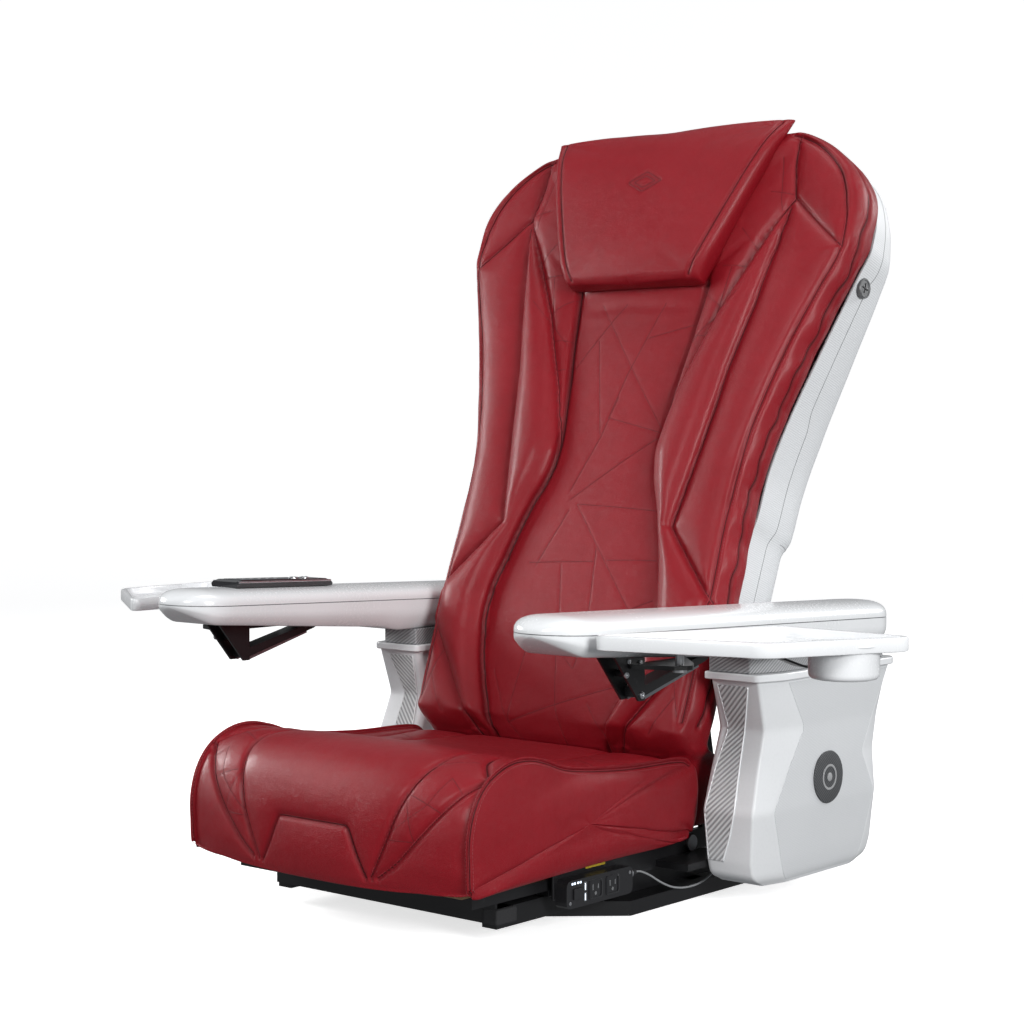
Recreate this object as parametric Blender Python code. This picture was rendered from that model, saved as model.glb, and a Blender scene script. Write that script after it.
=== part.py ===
"""Spa massage chair top, as an assembly of separate pieces.

A sliding steel base carries a seat with two hollow posts. The backrest reclines on two pins and
holds a massage carriage inside a hollow shell. Each armrest swings outward on a vertical pin and
carries a tray that swivels under it. Metres, +Z up, the sitter faces -Y, +X is the sitter's left.
The origin is on the floor, under the middle of the base pan.
"""
import math

import bmesh
import bpy
from mathutils import Matrix, Vector

# ---------------------------------------------------------------- driving dimensions
GAP = 0.0003                    # between pieces that touch
SEAT_HALF = 0.282               # half width of the seat cushion
SEAT_FRONT = -0.523             # front of the seat cushion
SEAT_REAR = -0.003              # rear of the seat cushion
SEAT_BOTTOM = 0.0978
PAN_TOP = 0.022
RAIL_X = (0.195, 0.222)         # base rails, inner and outer side
RAIL_TOP = 0.050
FRAME_Z = (0.062, 0.078)        # seat frame, bottom and top
FRAME_HALF = 0.235
HINGE = (0.045, 0.082)          # recline axis, y and z
HINGE_R = 0.008
BACK_ORIGIN = Vector((0.0, -0.048, 0.200))
BACK_TILT = math.radians(20.25)  # backrest's lean at rest
CUSHION_T = 0.070               # thickness of the back cushion
BACK_TOP = 1.085                # length of the backrest along its lean
WALL = 0.004                    # shell wall
POST_INNER = 0.302              # inner side of a post
ARM_X = 0.365                   # middle of an armrest, and its pin
ARM_HALF = 0.065
ARM_PIN_Y = 0.295
ARM_NOSE_Y = -0.490
NECK_TOP = 0.385
CAP_Z = (0.3465, 0.358)
TRAY_PIN = (0.470, -0.300)      # tray swivel, x and y
TRAY_Z = (0.434, 0.454)
TRAY_OUT = math.radians(21.0)   # how far the left tray stands swung out at rest
ACTUATOR_FOOT = (0.190, 0.055)  # y and z
ACTUATOR_LENGTH = 0.381
KEY_Y = (-0.225, -0.200)        # keys of the remote control, along the arm
CARRIAGE_S = (0.400, 0.520)     # massage carriage along the backrest
SCREW_X = -0.100                # slide screw
SCREW_Z = 0.042

UP = Vector((0.0, math.sin(BACK_TILT), math.cos(BACK_TILT)))
REAR = Vector((0.0, math.cos(BACK_TILT), -math.sin(BACK_TILT)))

SIDES = (("left", 1.0), ("right", -1.0))


# ---------------------------------------------------------------- materials and bodies
def material(name, colour, rough, metallic=0.0):
    """A plain Principled material."""
    mat = bpy.data.materials.new(name)
    mat.use_nodes = True
    shader = mat.node_tree.nodes["Principled BSDF"]
    shader.inputs["Base Color"].default_value = (*colour, 1.0)
    shader.inputs["Roughness"].default_value = rough
    shader.inputs["Metallic"].default_value = metallic
    mat.diffuse_color = (*colour, 1.0)
    return mat


def clear_scene():
    """Remove every object of the open scene."""
    for obj in list(bpy.data.objects):
        bpy.data.objects.remove(obj, do_unlink=True)


clear_scene()
LEATHER = material("red_leather", (0.255, 0.018, 0.028), 0.42)
WHITE = material("white_plastic", (0.75, 0.76, 0.77), 0.30)
STRIPE = material("striped_insert", (0.30, 0.31, 0.32), 0.45)
DARK = material("dark_plastic", (0.045, 0.047, 0.05), 0.45)
STEEL = material("black_steel", (0.012, 0.012, 0.013), 0.40, 0.6)
BRIGHT = material("bright_steel", (0.62, 0.63, 0.64), 0.25, 1.0)
RUBBER = material("rubber", (0.02, 0.02, 0.02), 0.80)
WOOD = material("plywood", (0.42, 0.28, 0.15), 0.60)
GREY = material("grey_cable", (0.35, 0.35, 0.36), 0.50)


def body(name, pivot=(0.0, 0.0, 0.0)):
    """An empty on a body's joint axis, which its pieces hang from."""
    empty = bpy.data.objects.new("body_" + name, None)
    empty.location = pivot
    bpy.context.collection.objects.link(empty)
    return empty


def back(x, s, t):
    """A point of the backrest: x across, s along its lean, t behind its front plane."""
    return BACK_ORIGIN + Vector((x, 0.0, 0.0)) + s * UP + t * REAR


# ---------------------------------------------------------------- shapes
def piece(name, mesh, mat, holder, smooth=True):
    """Turn a bmesh, built in world metres, into a named object hung from a body."""
    bmesh.ops.remove_doubles(mesh, verts=mesh.verts, dist=1e-6)
    bmesh.ops.recalc_face_normals(mesh, faces=mesh.faces)
    data = bpy.data.meshes.new(name)
    mesh.to_mesh(data)
    mesh.free()
    data.materials.append(mat)
    if smooth:
        data.shade_smooth()
        data.set_sharp_from_angle(angle=math.radians(35.0))
    obj = bpy.data.objects.new(name, data)
    bpy.context.collection.objects.link(obj)
    data.transform(Matrix.Translation(-holder.location))
    obj.parent = holder
    return obj


def block(low, high):
    """A box between two corners."""
    mesh = bmesh.new()
    bmesh.ops.create_cube(mesh, size=1.0)
    low, high = Vector(low), Vector(high)
    for vert in mesh.verts:
        vert.co = Vector([low[i] + (vert.co[i] + 0.5) * (high[i] - low[i]) for i in range(3)])
    return mesh


def side_block(sign, x_in, x_out, low_yz, high_yz):
    """A box given by its distances from the middle plane, on one side of the chair."""
    xs = sorted((sign * x_in, sign * x_out))
    return block((xs[0], *low_yz), (xs[1], *high_yz))


def back_block(xs, ss, ts):
    """A box whose edges follow the backrest's lean."""
    mesh = block((xs[0], ss[0], ts[0]), (xs[1], ss[1], ts[1]))
    for vert in mesh.verts:
        vert.co = back(*vert.co)
    return mesh


def prism(outline, axis, low, high):
    """A flat outline of (a, b) points extruded along x, y or z from low to high."""
    mesh = bmesh.new()
    place = {"x": lambda a, b, c: (c, a, b), "y": lambda a, b, c: (a, c, b), "z": lambda a, b, c: (a, b, c)}[axis]
    rings = [[mesh.verts.new(place(a, b, level)) for a, b in outline] for level in (low, high)]
    bridge(mesh, rings)
    return mesh


def bridge(mesh, rings):
    """Close a stack of rings of equal count into one body, with capped ends."""
    count = len(rings[0])
    for first, second in zip(rings, rings[1:]):
        for i in range(count):
            j = (i + 1) % count
            mesh.faces.new((first[i], first[j], second[j], second[i]))
    for ring in (rings[0], rings[-1]):
        mesh.faces.new(ring)


def loft(sections):
    """A closed body through sections, each a ring of 3-D points of equal count."""
    mesh = bmesh.new()
    bridge(mesh, [[mesh.verts.new(point) for point in ring] for ring in sections])
    bmesh.ops.triangulate(mesh, faces=[face for face in mesh.faces if len(face.verts) > 4])
    return mesh


def rod(start, end, radius, sides=20, end_radius=None):
    """A round bar between two points."""
    start, end = Vector(start), Vector(end)
    turn = (end - start).to_track_quat("Z", "Y").to_matrix()
    rings = []
    for centre, size in ((start, radius), (end, end_radius or radius)):
        ring = []
        for i in range(sides):
            angle = 2.0 * math.pi * (i + 0.5) / sides
            ring.append(centre + turn @ Vector((size * math.cos(angle), size * math.sin(angle), 0.0)))
        rings.append(ring)
    mesh = bmesh.new()
    bridge(mesh, [[mesh.verts.new(point) for point in ring] for ring in rings])
    return mesh


def turned(profile, centre, axis, sides=24):
    """A turned solid: (radius, height) points along an axis, closed at both ends."""
    turn = Vector(axis).to_track_quat("Z", "Y").to_matrix()
    rings = []
    for radius, height in profile:
        ring = []
        for i in range(sides):
            angle = 2.0 * math.pi * i / sides
            local = Vector((radius * math.cos(angle), radius * math.sin(angle), height))
            ring.append(Vector(centre) + turn @ local)
        rings.append(ring)
    mesh = bmesh.new()
    bridge(mesh, [[mesh.verts.new(point) for point in ring] for ring in rings])
    return mesh


def arc(centre, radius, start, end, steps):
    """Points on an arc between two angles in degrees."""
    points = []
    for i in range(steps + 1):
        angle = math.radians(start + (end - start) * i / steps)
        points.append((centre[0] + radius * math.cos(angle), centre[1] + radius * math.sin(angle)))
    return points


def rounded(corners, radius, steps=3):
    """A polygon with each corner replaced by a short curve of about the given radius."""
    points = []
    count = len(corners)
    for i, corner in enumerate(corners):
        here = Vector(corner)
        before = Vector(corners[i - 1]) - here
        after = Vector(corners[(i + 1) % count]) - here
        start = here + before.normalized() * min(radius, before.length * 0.45)
        end = here + after.normalized() * min(radius, after.length * 0.45)
        for k in range(steps + 1):
            f = k / steps
            points.append(tuple((1 - f) ** 2 * start + 2 * f * (1 - f) * here + f ** 2 * end))
    return points


def bevel(obj, width, segments=2):
    """Round the hard edges of a piece."""
    mod = obj.modifiers.new("edges", "BEVEL")
    mod.width = width
    mod.segments = segments
    mod.limit_method = "ANGLE"
    mod.angle_limit = math.radians(40.0)
    return obj


def combine(obj, other_mesh, holder, operation):
    """Join a shape to a piece, or take it away, through a hidden helper object."""
    helper = piece("helper_" + obj.name, other_mesh, STEEL, holder, smooth=False)
    helper.hide_render = True
    helper.display_type = "WIRE"
    mod = obj.modifiers.new(operation.lower(), "BOOLEAN")
    mod.operation = operation
    mod.object = helper
    return obj


def cut(obj, cutter_mesh, holder):
    """Subtract a shape from a piece."""
    return combine(obj, cutter_mesh, holder, "DIFFERENCE")


def weld(obj, added_mesh, holder):
    """Join a shape to a piece as one welded body."""
    return combine(obj, added_mesh, holder, "UNION")


def mirror_x(points, sign):
    """Flat (x, y) points on one side of the chair."""
    return [(sign * x, y) for x, y in points]


# ---------------------------------------------------------------- base
def build_base(base, slide_screw):
    """The floor pan welded to its rails, front plate and screw bearing, and the slide drive."""
    pan = [(-0.165, -0.215), (0.165, -0.215), (0.258, -0.130), (0.258, 0.330), (0.190, 0.400),
           (-0.190, 0.400), (-0.258, 0.330), (-0.258, -0.130)]
    frame = piece("base_frame", prism(pan, "z", 0.0, PAN_TOP), STEEL, base)
    for _, sign in SIDES:
        rail = side_block(sign, *RAIL_X, (-0.3935, PAN_TOP - 0.001), (0.330, RAIL_TOP))
        weld(frame, rail, base)
    weld(frame, block((-0.222, -0.3975, 0.028), (0.2225, -0.3925, 0.0590)), base)
    bearing = block((SCREW_X - 0.022, -0.3930, 0.0300), (SCREW_X + 0.022, -0.3700, 0.0575))
    weld(frame, bearing, base)
    hole = ((SCREW_X, -0.3850, SCREW_Z), (SCREW_X, -0.3300, SCREW_Z))
    cut(frame, rod(*hole, 0.0067, 24), base)
    motor = block((SCREW_X - 0.030, 0.1005, PAN_TOP + GAP), (SCREW_X + 0.030, 0.235, 0.072))
    bevel(piece("slide_motor", motor, DARK, base), 0.006, 2)
    screw = rod((SCREW_X, -0.3845, SCREW_Z), (SCREW_X, 0.1000, SCREW_Z), 0.006, 16)
    piece("slide_screw", screw, BRIGHT, slide_screw)


# ---------------------------------------------------------------- seat
def seat_sections():
    """Cross-sections of the seat cushion from front to rear, each a ring in x and z."""
    stations = [
        # y, half width, bottom, top at the side, top in the middle
        (SEAT_FRONT + 0.003, 0.230, 0.135, 0.190, 0.180),
        (SEAT_FRONT + 0.012, 0.262, 0.112, 0.222, 0.202),
        (SEAT_FRONT + 0.045, 0.280, SEAT_BOTTOM, 0.250, 0.222),
        (-0.430, SEAT_HALF, SEAT_BOTTOM, 0.268, 0.240),
        (-0.390, SEAT_HALF, SEAT_BOTTOM, 0.272, 0.243),
        (-0.300, SEAT_HALF, SEAT_BOTTOM, 0.258, 0.236),
        (-0.175, SEAT_HALF, SEAT_BOTTOM, 0.244, 0.228),
        (-0.050, 0.281, SEAT_BOTTOM, 0.236, 0.224),
        (-0.024, 0.280, SEAT_BOTTOM, 0.232, 0.222),
        (SEAT_REAR, 0.276, SEAT_BOTTOM, 0.214, 0.212),
    ]
    sections = []
    for y, half, low, side_top, mid_top in stations:
        edge = min(0.022, (side_top - low) * 0.25)
        ring = [(-half, low), (half, low), (half, side_top - edge), (half - edge, side_top),
                (half * 0.62, side_top * 0.45 + mid_top * 0.55), (half * 0.3, mid_top),
                (-half * 0.3, mid_top), (-half * 0.62, side_top * 0.45 + mid_top * 0.55),
                (-half + edge, side_top), (-half, side_top - edge)]
        sections.append([(x, y, z) for x, z in ring])
    return sections


def build_seat(seat):
    """The welded seat frame, board, cushion, runners, hinge pins and what hangs under the seat."""
    frame = piece("seat_frame", block((-FRAME_HALF, -0.460, FRAME_Z[0]), (FRAME_HALF, -0.030, FRAME_Z[1])),
                  STEEL, seat)
    for _, sign in SIDES:
        weld(frame, hinge_bracket(sign), seat)
        weld(frame, side_block(sign, 0.2400, 0.3017, (-0.045, 0.0585), (0.080, 0.0690)), seat)
        weld(frame, actuator_plate(sign), seat)
    cut(frame, rod((-0.260, *HINGE), (0.260, *HINGE), HINGE_R + 0.0006, 24), seat)
    cut(frame, rod((-0.040, *ACTUATOR_FOOT), (0.040, *ACTUATOR_FOOT), 0.0066, 24), seat)
    board = block((-0.232, -0.478, FRAME_Z[1] + GAP), (0.232, -0.012, SEAT_BOTTOM - GAP))
    bevel(piece("seat_board", board, WOOD, seat), 0.002, 1)
    piece("seat_cushion", loft(seat_sections()), LEATHER, seat)
    nut = block((SCREW_X - 0.022, -0.205, 0.0245), (SCREW_X + 0.022, -0.165, FRAME_Z[0] - GAP))
    nut = bevel(piece("slide_nut", nut, BRIGHT, seat), 0.002, 1)
    cut(nut, rod((SCREW_X, -0.24, SCREW_Z), (SCREW_X, -0.13, SCREW_Z), 0.0067, 24), seat)
    box = block((0.010, -0.289, 0.0265), (0.165, -0.110, FRAME_Z[0] - GAP))
    bevel(piece("control_box", box, DARK, seat), 0.003, 1)
    for side, sign in SIDES:
        runner = side_block(sign, 0.190, 0.230, (-0.288, RAIL_TOP + 0.0005), (0.020, FRAME_Z[0] - GAP))
        bevel(piece("runner_" + side, runner, DARK, seat), 0.001, 1)
        pin = turned([(HINGE_R, 0.0), (HINGE_R, 0.0380), (0.0125, 0.0380), (0.0125, 0.0420)],
                     (sign * 0.2038, *HINGE), (sign, 0.0, 0.0), 20)
        piece("hinge_pin_" + side, pin, BRIGHT, seat)
    pin = rod((-0.034, *ACTUATOR_FOOT), (0.034, *ACTUATOR_FOOT), 0.006, 20)
    piece("actuator_pin", pin, BRIGHT, seat)
    build_power_strip(seat)


def hinge_bracket(sign):
    """A plate on the seat frame's side that reaches back to the recline axis."""
    outline = [(-0.120, 0.0600), (-0.120, 0.0975), (HINGE[0], HINGE[1] + 0.0155)]
    outline += arc(HINGE, 0.0155, 80, -80, 8)
    outline += [(HINGE[0], 0.0600)]
    return prism(outline, "x", *sorted((sign * 0.2342, sign * 0.2413)))


def actuator_plate(sign):
    """A plate that reaches back from the seat frame to the actuator's foot."""
    outline = [(-0.0340, 0.0460), (-0.0340, 0.0775), (ACTUATOR_FOOT[0], ACTUATOR_FOOT[1] + 0.018)]
    outline += arc(ACTUATOR_FOOT, 0.018, 75, -75, 6)
    outline += [(ACTUATOR_FOOT[0], ACTUATOR_FOOT[1] - 0.018)]
    return prism(outline, "x", *sorted((sign * 0.0225, sign * 0.0285)))


def build_power_strip(seat):
    """The power strip on the seat's left side, its bracket, button, jack and cable."""
    plate = block((0.2444, -0.300, 0.0500), (0.2484, -0.125, 0.0972))
    bevel(piece("strip_bracket", plate, STEEL, seat), 0.001, 1)
    shape = rounded([(-0.296, 0.0385), (-0.141, 0.0385), (-0.141, 0.0790), (-0.296, 0.0790)], 0.010)
    strip = piece("power_strip", prism(shape, "x", 0.2487, 0.2700), DARK, seat)
    cut(strip, block((0.2620, -0.2820, 0.0510), (0.2800, -0.2610, 0.0670)), seat)
    button = block((0.2660, -0.2815, 0.0515), (0.2725, -0.2615, 0.0665))
    holder = body("power_button", (0.2660, -0.2715, 0.0590))
    piece("power_button", button, DARK, holder, smooth=False)
    jack = rod((0.2620, -0.1407, 0.066), (0.2620, -0.1260, 0.066), 0.0055, 16, 0.0045)
    piece("cable_jack", jack, RUBBER, seat)
    build_cable(seat)


CABLE_ROUTE = [(0.2620, -0.1257, 0.0660), (0.2622, -0.1120, 0.0645), (0.2630, -0.0900, 0.0555),
               (0.2645, -0.0600, 0.0390), (0.2660, -0.0300, 0.0275), (0.2675, 0.0050, 0.0230),
               (0.2690, 0.0400, 0.0265), (0.2700, 0.0700, 0.0390), (0.2705, 0.0920, 0.0560),
               (0.2710, 0.1080, 0.0800), (0.2790, 0.1160, 0.0980), (0.2930, 0.1190, 0.1060),
               (0.3015, 0.1195, 0.1070)]


def smooth_route(points, steps):
    """A Catmull-Rom curve through the points, steps points to a span."""
    out = []
    last = len(points) - 1
    vectors = [Vector(p) for p in points]
    for i in range(last):
        p0, p1 = vectors[max(i - 1, 0)], vectors[i]
        p2, p3 = vectors[i + 1], vectors[min(i + 2, last)]
        for k in range(steps):
            f = k / steps
            out.append(0.5 * (2 * p1 + (p2 - p0) * f + (2 * p0 - 5 * p1 + 4 * p2 - p3) * f * f
                              + (3 * p1 - p0 - 3 * p2 + p3) * f ** 3))
    out.append(vectors[-1])
    return out


def build_cable(seat):
    """The thin cable that sags from the jack to the inner side of the left post."""
    curve = bpy.data.curves.new("strip_cable", "CURVE")
    curve.dimensions = "3D"
    curve.bevel_depth = 0.0016
    curve.bevel_resolution = 2
    curve.use_fill_caps = True
    curve.resolution_u = 1
    points = smooth_route(CABLE_ROUTE, 5)
    spline = curve.splines.new("POLY")
    spline.points.add(len(points) - 1)
    for knot, point in zip(spline.points, points):
        knot.co = (*(point - seat.location), 1.0)
    curve.materials.append(GREY)
    obj = bpy.data.objects.new("strip_cable", curve)
    bpy.context.collection.objects.link(obj)
    obj.parent = seat


# ---------------------------------------------------------------- posts
POST_STATIONS = [
    # z, front, rear, outer side, outer front corner, side facet from, to
    (0.036, 0.033, 0.292, 0.396, 0.386, 0.075, 0.262),
    (0.072, -0.004, 0.328, 0.403, 0.388, 0.050, 0.290),
    (0.150, -0.015, 0.335, 0.407, 0.398, 0.024, 0.318),
    (0.215, 0.008, 0.332, 0.405, 0.392, 0.070, 0.284),
    (0.270, 0.029, 0.349, 0.402, 0.389, 0.114, 0.320),
    (0.348, 0.006, 0.374, 0.405, 0.392, 0.062, 0.364),
]


def post_ring(station, sign, inset=0.0):
    """One level of a post: a chamfered oblong, moved inwards by inset."""
    z, front, rear, outer, corner, facet_a, facet_b = station
    x_in, x_out = POST_INNER + inset, outer - inset
    front, rear = front + inset, rear - inset
    ring = [(x_in, front + 0.008), (x_in + 0.008, front), (corner - inset, front),
            (x_out, facet_a + inset), (x_out, facet_b - inset), (x_out - 0.010, rear),
            (x_in + 0.008, rear), (x_in, rear - 0.008)]
    return [(sign * x, y, z) for x, y in ring]


INSERT_STATIONS = [
    # z, inner edge, outer edge of the striped insert
    (0.072, 0.311, 0.336),
    (0.110, 0.311, 0.352),
    (0.150, 0.311, 0.364),
    (0.215, 0.316, 0.358),
    (0.270, 0.324, 0.353),
    (0.338, 0.317, 0.372),
]


def post_front(z):
    """How far forward a post's front face stands at a height."""
    for low, high in zip(POST_STATIONS, POST_STATIONS[1:]):
        if z <= high[0]:
            f = (z - low[0]) / (high[0] - low[0])
            return low[1] + f * (high[1] - low[1])
    return POST_STATIONS[-1][1]


def build_posts(seat):
    """Hollow posts with a cap plate, a striped insert, a side badge, a neck and the arm pin."""
    for side, sign in SIDES:
        post = piece("post_" + side, loft([post_ring(s, sign) for s in POST_STATIONS]), WHITE, seat)
        inner = [post_ring(s, sign, 0.005) for s in POST_STATIONS]
        inner[0] = [(x, y, 0.020) for x, y, _ in inner[0]]
        inner[-1] = [(x, y, 0.342) for x, y, _ in inner[-1]]
        cut(post, loft(inner), seat)
        rings = []
        for z, a, b in INSERT_STATIONS:
            y = post_front(z)
            rings.append([(sign * a, y - 0.0020, z), (sign * b, y - 0.0020, z),
                          (sign * b, y - GAP, z), (sign * a, y - GAP, z)])
        piece("post_insert_" + side, loft(rings), STRIPE, seat)
        badge = turned([(0.041, 0.0), (0.041, 0.0012), (0.039, 0.0024)],
                       (sign * 0.4074, 0.178, 0.186), (sign, 0.0, 0.0), 32)
        piece("post_badge_" + side, badge, DARK, seat)
        plate = rounded([(0.296, -0.002), (0.396, -0.002), (0.412, 0.056), (0.412, 0.366),
                         (0.398, 0.386), (0.296, 0.386)], 0.008)
        weld(post, prism(mirror_x(plate, sign), "z", *CAP_Z), seat)
        outline = [(0.304, 0.004), (0.378, 0.004), (0.400, 0.060), (0.400, 0.352), (0.392, 0.362),
                   (0.304, 0.362), (0.304, 0.150), (0.314, 0.138)]
        neck = prism(mirror_x(outline, sign), "z", CAP_Z[1] + GAP, NECK_TOP)
        neck = bevel(piece("neck_" + side, neck, STRIPE, seat), 0.0015, 1)
        centre = (sign * ARM_X, ARM_PIN_Y)
        for hollow in (post, neck):
            cut(hollow, rod((*centre, 0.30), (*centre, 0.45), 0.0126, 24), seat)
        pin = turned([(0.012, 0.0), (0.012, 0.102), (0.010, 0.104)], (*centre, 0.310), (0, 0, 1), 24)
        piece("arm_pin_" + side, pin, BRIGHT, seat)


# ---------------------------------------------------------------- armrests
def arm_half(y):
    """Half width of an armrest: an oval nose, straight sides and a round tail about the pin."""
    nose = y - ARM_NOSE_Y
    if nose < 0.085:
        f = 1.0 - nose / 0.085
        return ARM_HALF * (1.0 - f ** 2.6) ** 0.5
    tail = y - ARM_PIN_Y
    if tail > 0.0:
        return (max(ARM_HALF ** 2 - tail ** 2, 0.0)) ** 0.5
    return ARM_HALF


def arm_seam(y):
    """Height of the seam between an armrest's lower shell and its pad."""
    return 0.453 - (y - ARM_NOSE_Y) * 0.028 / 0.850


def arm_under(y):
    """Height of an armrest's underside: a raised nose, a long slope and a flat boss."""
    if y > -0.030:
        return NECK_TOP + 0.0006
    if y > -0.070:
        return 0.394 + (y + 0.070) / 0.040 * (NECK_TOP + 0.0006 - 0.394)
    if y > -0.440:
        return 0.422 - (y + 0.440) / 0.370 * 0.028
    return 0.422 + (-0.440 - y) / 0.050 * 0.016


ARM_STATIONS = [-0.489, -0.484, -0.472, -0.455, -0.430, -0.400, -0.250, -0.070, -0.030, 0.150,
                0.295, 0.320, 0.338, 0.350, 0.357]


def arm_sections(sign, lower):
    """Cross-sections of an armrest's lower shell or pad, nose to tail."""
    sections = []
    for y in ARM_STATIONS:
        half = max(arm_half(y), 0.012)
        seam = arm_seam(y)
        chamfer = min(0.016, half * 0.5)
        if lower:
            low = arm_under(y)
            ring = [(-half, seam), (-half, low + chamfer * 0.8), (-half + chamfer, low),
                    (half - chamfer, low), (half, low + chamfer * 0.8), (half, seam)]
        else:
            top = seam + 0.0245
            ring = [(-half, seam + GAP), (half, seam + GAP), (half, top - chamfer * 0.7),
                    (half - chamfer * 0.4, top - chamfer * 0.2), (half - chamfer, top),
                    (-half + chamfer, top), (-half + chamfer * 0.4, top - chamfer * 0.2),
                    (-half, top - chamfer * 0.7)]
        sections.append([(sign * ARM_X + x, y, z) for x, z in ring])
    return sections


def build_arm(side, sign, arm):
    """An armrest with the steel bracket that carries its tray."""
    lower = piece("arm_lower_" + side, loft(arm_sections(sign, True)), WHITE, arm)
    hollow = loft([[(sign * ARM_X + x, y, z) for x, z in
                    ((-0.058, 0.470), (-0.058, arm_under(y) + 0.019), (-0.046, arm_under(y) + 0.006),
                     (0.046, arm_under(y) + 0.006), (0.058, arm_under(y) + 0.019), (0.058, 0.470))]
                   for y in (-0.400, -0.250, -0.072, -0.028, 0.235)])
    cut(lower, hollow, arm)
    centre = (sign * ARM_X, ARM_PIN_Y)
    cut(lower, rod((*centre, 0.37), (*centre, 0.4175), 0.0126, 24), arm)
    piece("arm_pad_" + side, loft(arm_sections(sign, False)), WHITE, arm)
    bracket = piece("tray_bracket_" + side, bracket_plate(sign, 0.382), STEEL, arm, smooth=False)
    weld(bracket, bracket_plate(sign, 0.412), arm)
    strut = prism([(-0.3120, 0.3560), (-0.3120, 0.3700), (-0.178, 0.4010), (-0.150, 0.3985),
                   (-0.160, 0.3940)], "x", *sorted((sign * 0.3845, sign * 0.4130)))
    weld(bracket, strut, arm)
    weld(bracket, rod((sign * 0.3840, -0.330, 0.3900), (sign * 0.4135, -0.330, 0.3900), 0.005, 12), arm)
    plate = rounded([(0.4140, -0.345), (TRAY_PIN[0] + 0.006, -0.325), (TRAY_PIN[0] + 0.022, -0.300),
                     (TRAY_PIN[0] + 0.006, -0.275), (0.4140, -0.210)], 0.008)
    weld(bracket, prism(mirror_x(plate, sign), "z", 0.3990, 0.4050), arm)
    pin_xy = (sign * TRAY_PIN[0], TRAY_PIN[1])
    cut(bracket, rod((*pin_xy, 0.38), (*pin_xy, 0.42), 0.0066, 24), arm)
    pin = turned([(0.010, 0.0), (0.010, 0.0040), (0.006, 0.0040), (0.006, 0.0380)],
                 (*pin_xy, 0.3945), (0, 0, 1), 20)
    piece("tray_pin_" + side, pin, BRIGHT, arm)


def bracket_plate(sign, x):
    """One triangular side plate of the tray bracket."""
    outline = [(-0.373, 0.4160), (-0.306, 0.4112), (-0.306, 0.352), (-0.319, 0.352)]
    return prism(outline, "x", *sorted((sign * x, sign * (x + 0.0035))))


TRAY_CORNERS = [(0.494, -0.457), (0.697, -0.316), (0.710, -0.091), (0.4976, -0.151)]
CUP_CENTRE = (0.655, -0.165)
CUP_R = 0.047


def tray_point(point, sign, turn):
    """A point of the tray, turned about its pin and put on one side of the chair."""
    x, y = point[0] - TRAY_PIN[0], point[1] - TRAY_PIN[1]
    c, s = math.cos(-turn), math.sin(-turn)
    return (sign * (TRAY_PIN[0] + c * x - s * y), TRAY_PIN[1] + s * x + c * y)


def tray_outline(sign, turn, inset, radius):
    """The tray's four-sided outline with round corners, moved inwards by inset."""
    centre = Vector((sum(p[0] for p in TRAY_CORNERS) / 4, sum(p[1] for p in TRAY_CORNERS) / 4))
    corners = []
    for corner in TRAY_CORNERS:
        away = Vector(corner) - centre
        corners.append(tuple(centre + away * (1.0 - inset / (away.length * 0.72))))
    return [tray_point(p, sign, turn) for p in rounded(corners, radius, 4)]


def build_tray(side, sign, turn, tray, lever):
    """A recessed tray with a cup holder, its carrier plate and its locking lever."""
    plate = piece("tray_" + side, prism(tray_outline(sign, turn, 0.0, 0.022), "z", *TRAY_Z), WHITE, tray)
    bevel(plate, 0.002, 1)
    recess = prism(tray_outline(sign, turn, 0.009, 0.018), "z", TRAY_Z[1] - 0.014, TRAY_Z[1] + 0.01)
    cut(plate, recess, tray)
    cup_xy = tray_point(CUP_CENTRE, sign, turn)
    cut(plate, rod((*cup_xy, 0.42), (*cup_xy, 0.46), CUP_R + 0.0004, 32), tray)
    low = TRAY_Z[0] - 0.037
    profile = [(CUP_R - 0.006, 0.0), (CUP_R, 0.006), (CUP_R, 0.0575), (CUP_R - 0.004, 0.0575),
               (CUP_R - 0.004, 0.006), (CUP_R - 0.010, 0.004)]
    piece("cup_holder_" + side, turned(profile, (*cup_xy, low), (0, 0, 1), 32), WHITE, tray)
    corners = [(0.452, -0.320), (0.540, -0.335), (0.585, -0.290), (0.560, -0.225), (0.500, -0.215),
               (0.456, -0.282)]
    outline = [tray_point(p, sign, turn) for p in rounded(corners, 0.012)]
    carrier = piece("tray_carrier_" + side, prism(outline, "z", 0.4267, TRAY_Z[0] - GAP), STEEL, tray)
    pin_xy = (sign * TRAY_PIN[0], TRAY_PIN[1])
    cut(carrier, rod((*pin_xy, 0.41), (*pin_xy, 0.45), 0.0066, 24), tray)
    shape = [(0.522, -0.236), (0.530, -0.262), (0.552, -0.262), (0.560, -0.236), (0.556, -0.185),
             (0.540, -0.165), (0.526, -0.185)]
    outline = [tray_point(p, sign, turn) for p in rounded(shape, 0.008, 2)]
    piece("tray_lever_" + side, prism(outline, "z", 0.4195, 0.4262), STEEL, lever)


# ---------------------------------------------------------------- remote control
def remote_top(y):
    """Height of the remote control's upper face."""
    return arm_seam(y) + 0.0255 + 0.012


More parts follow.
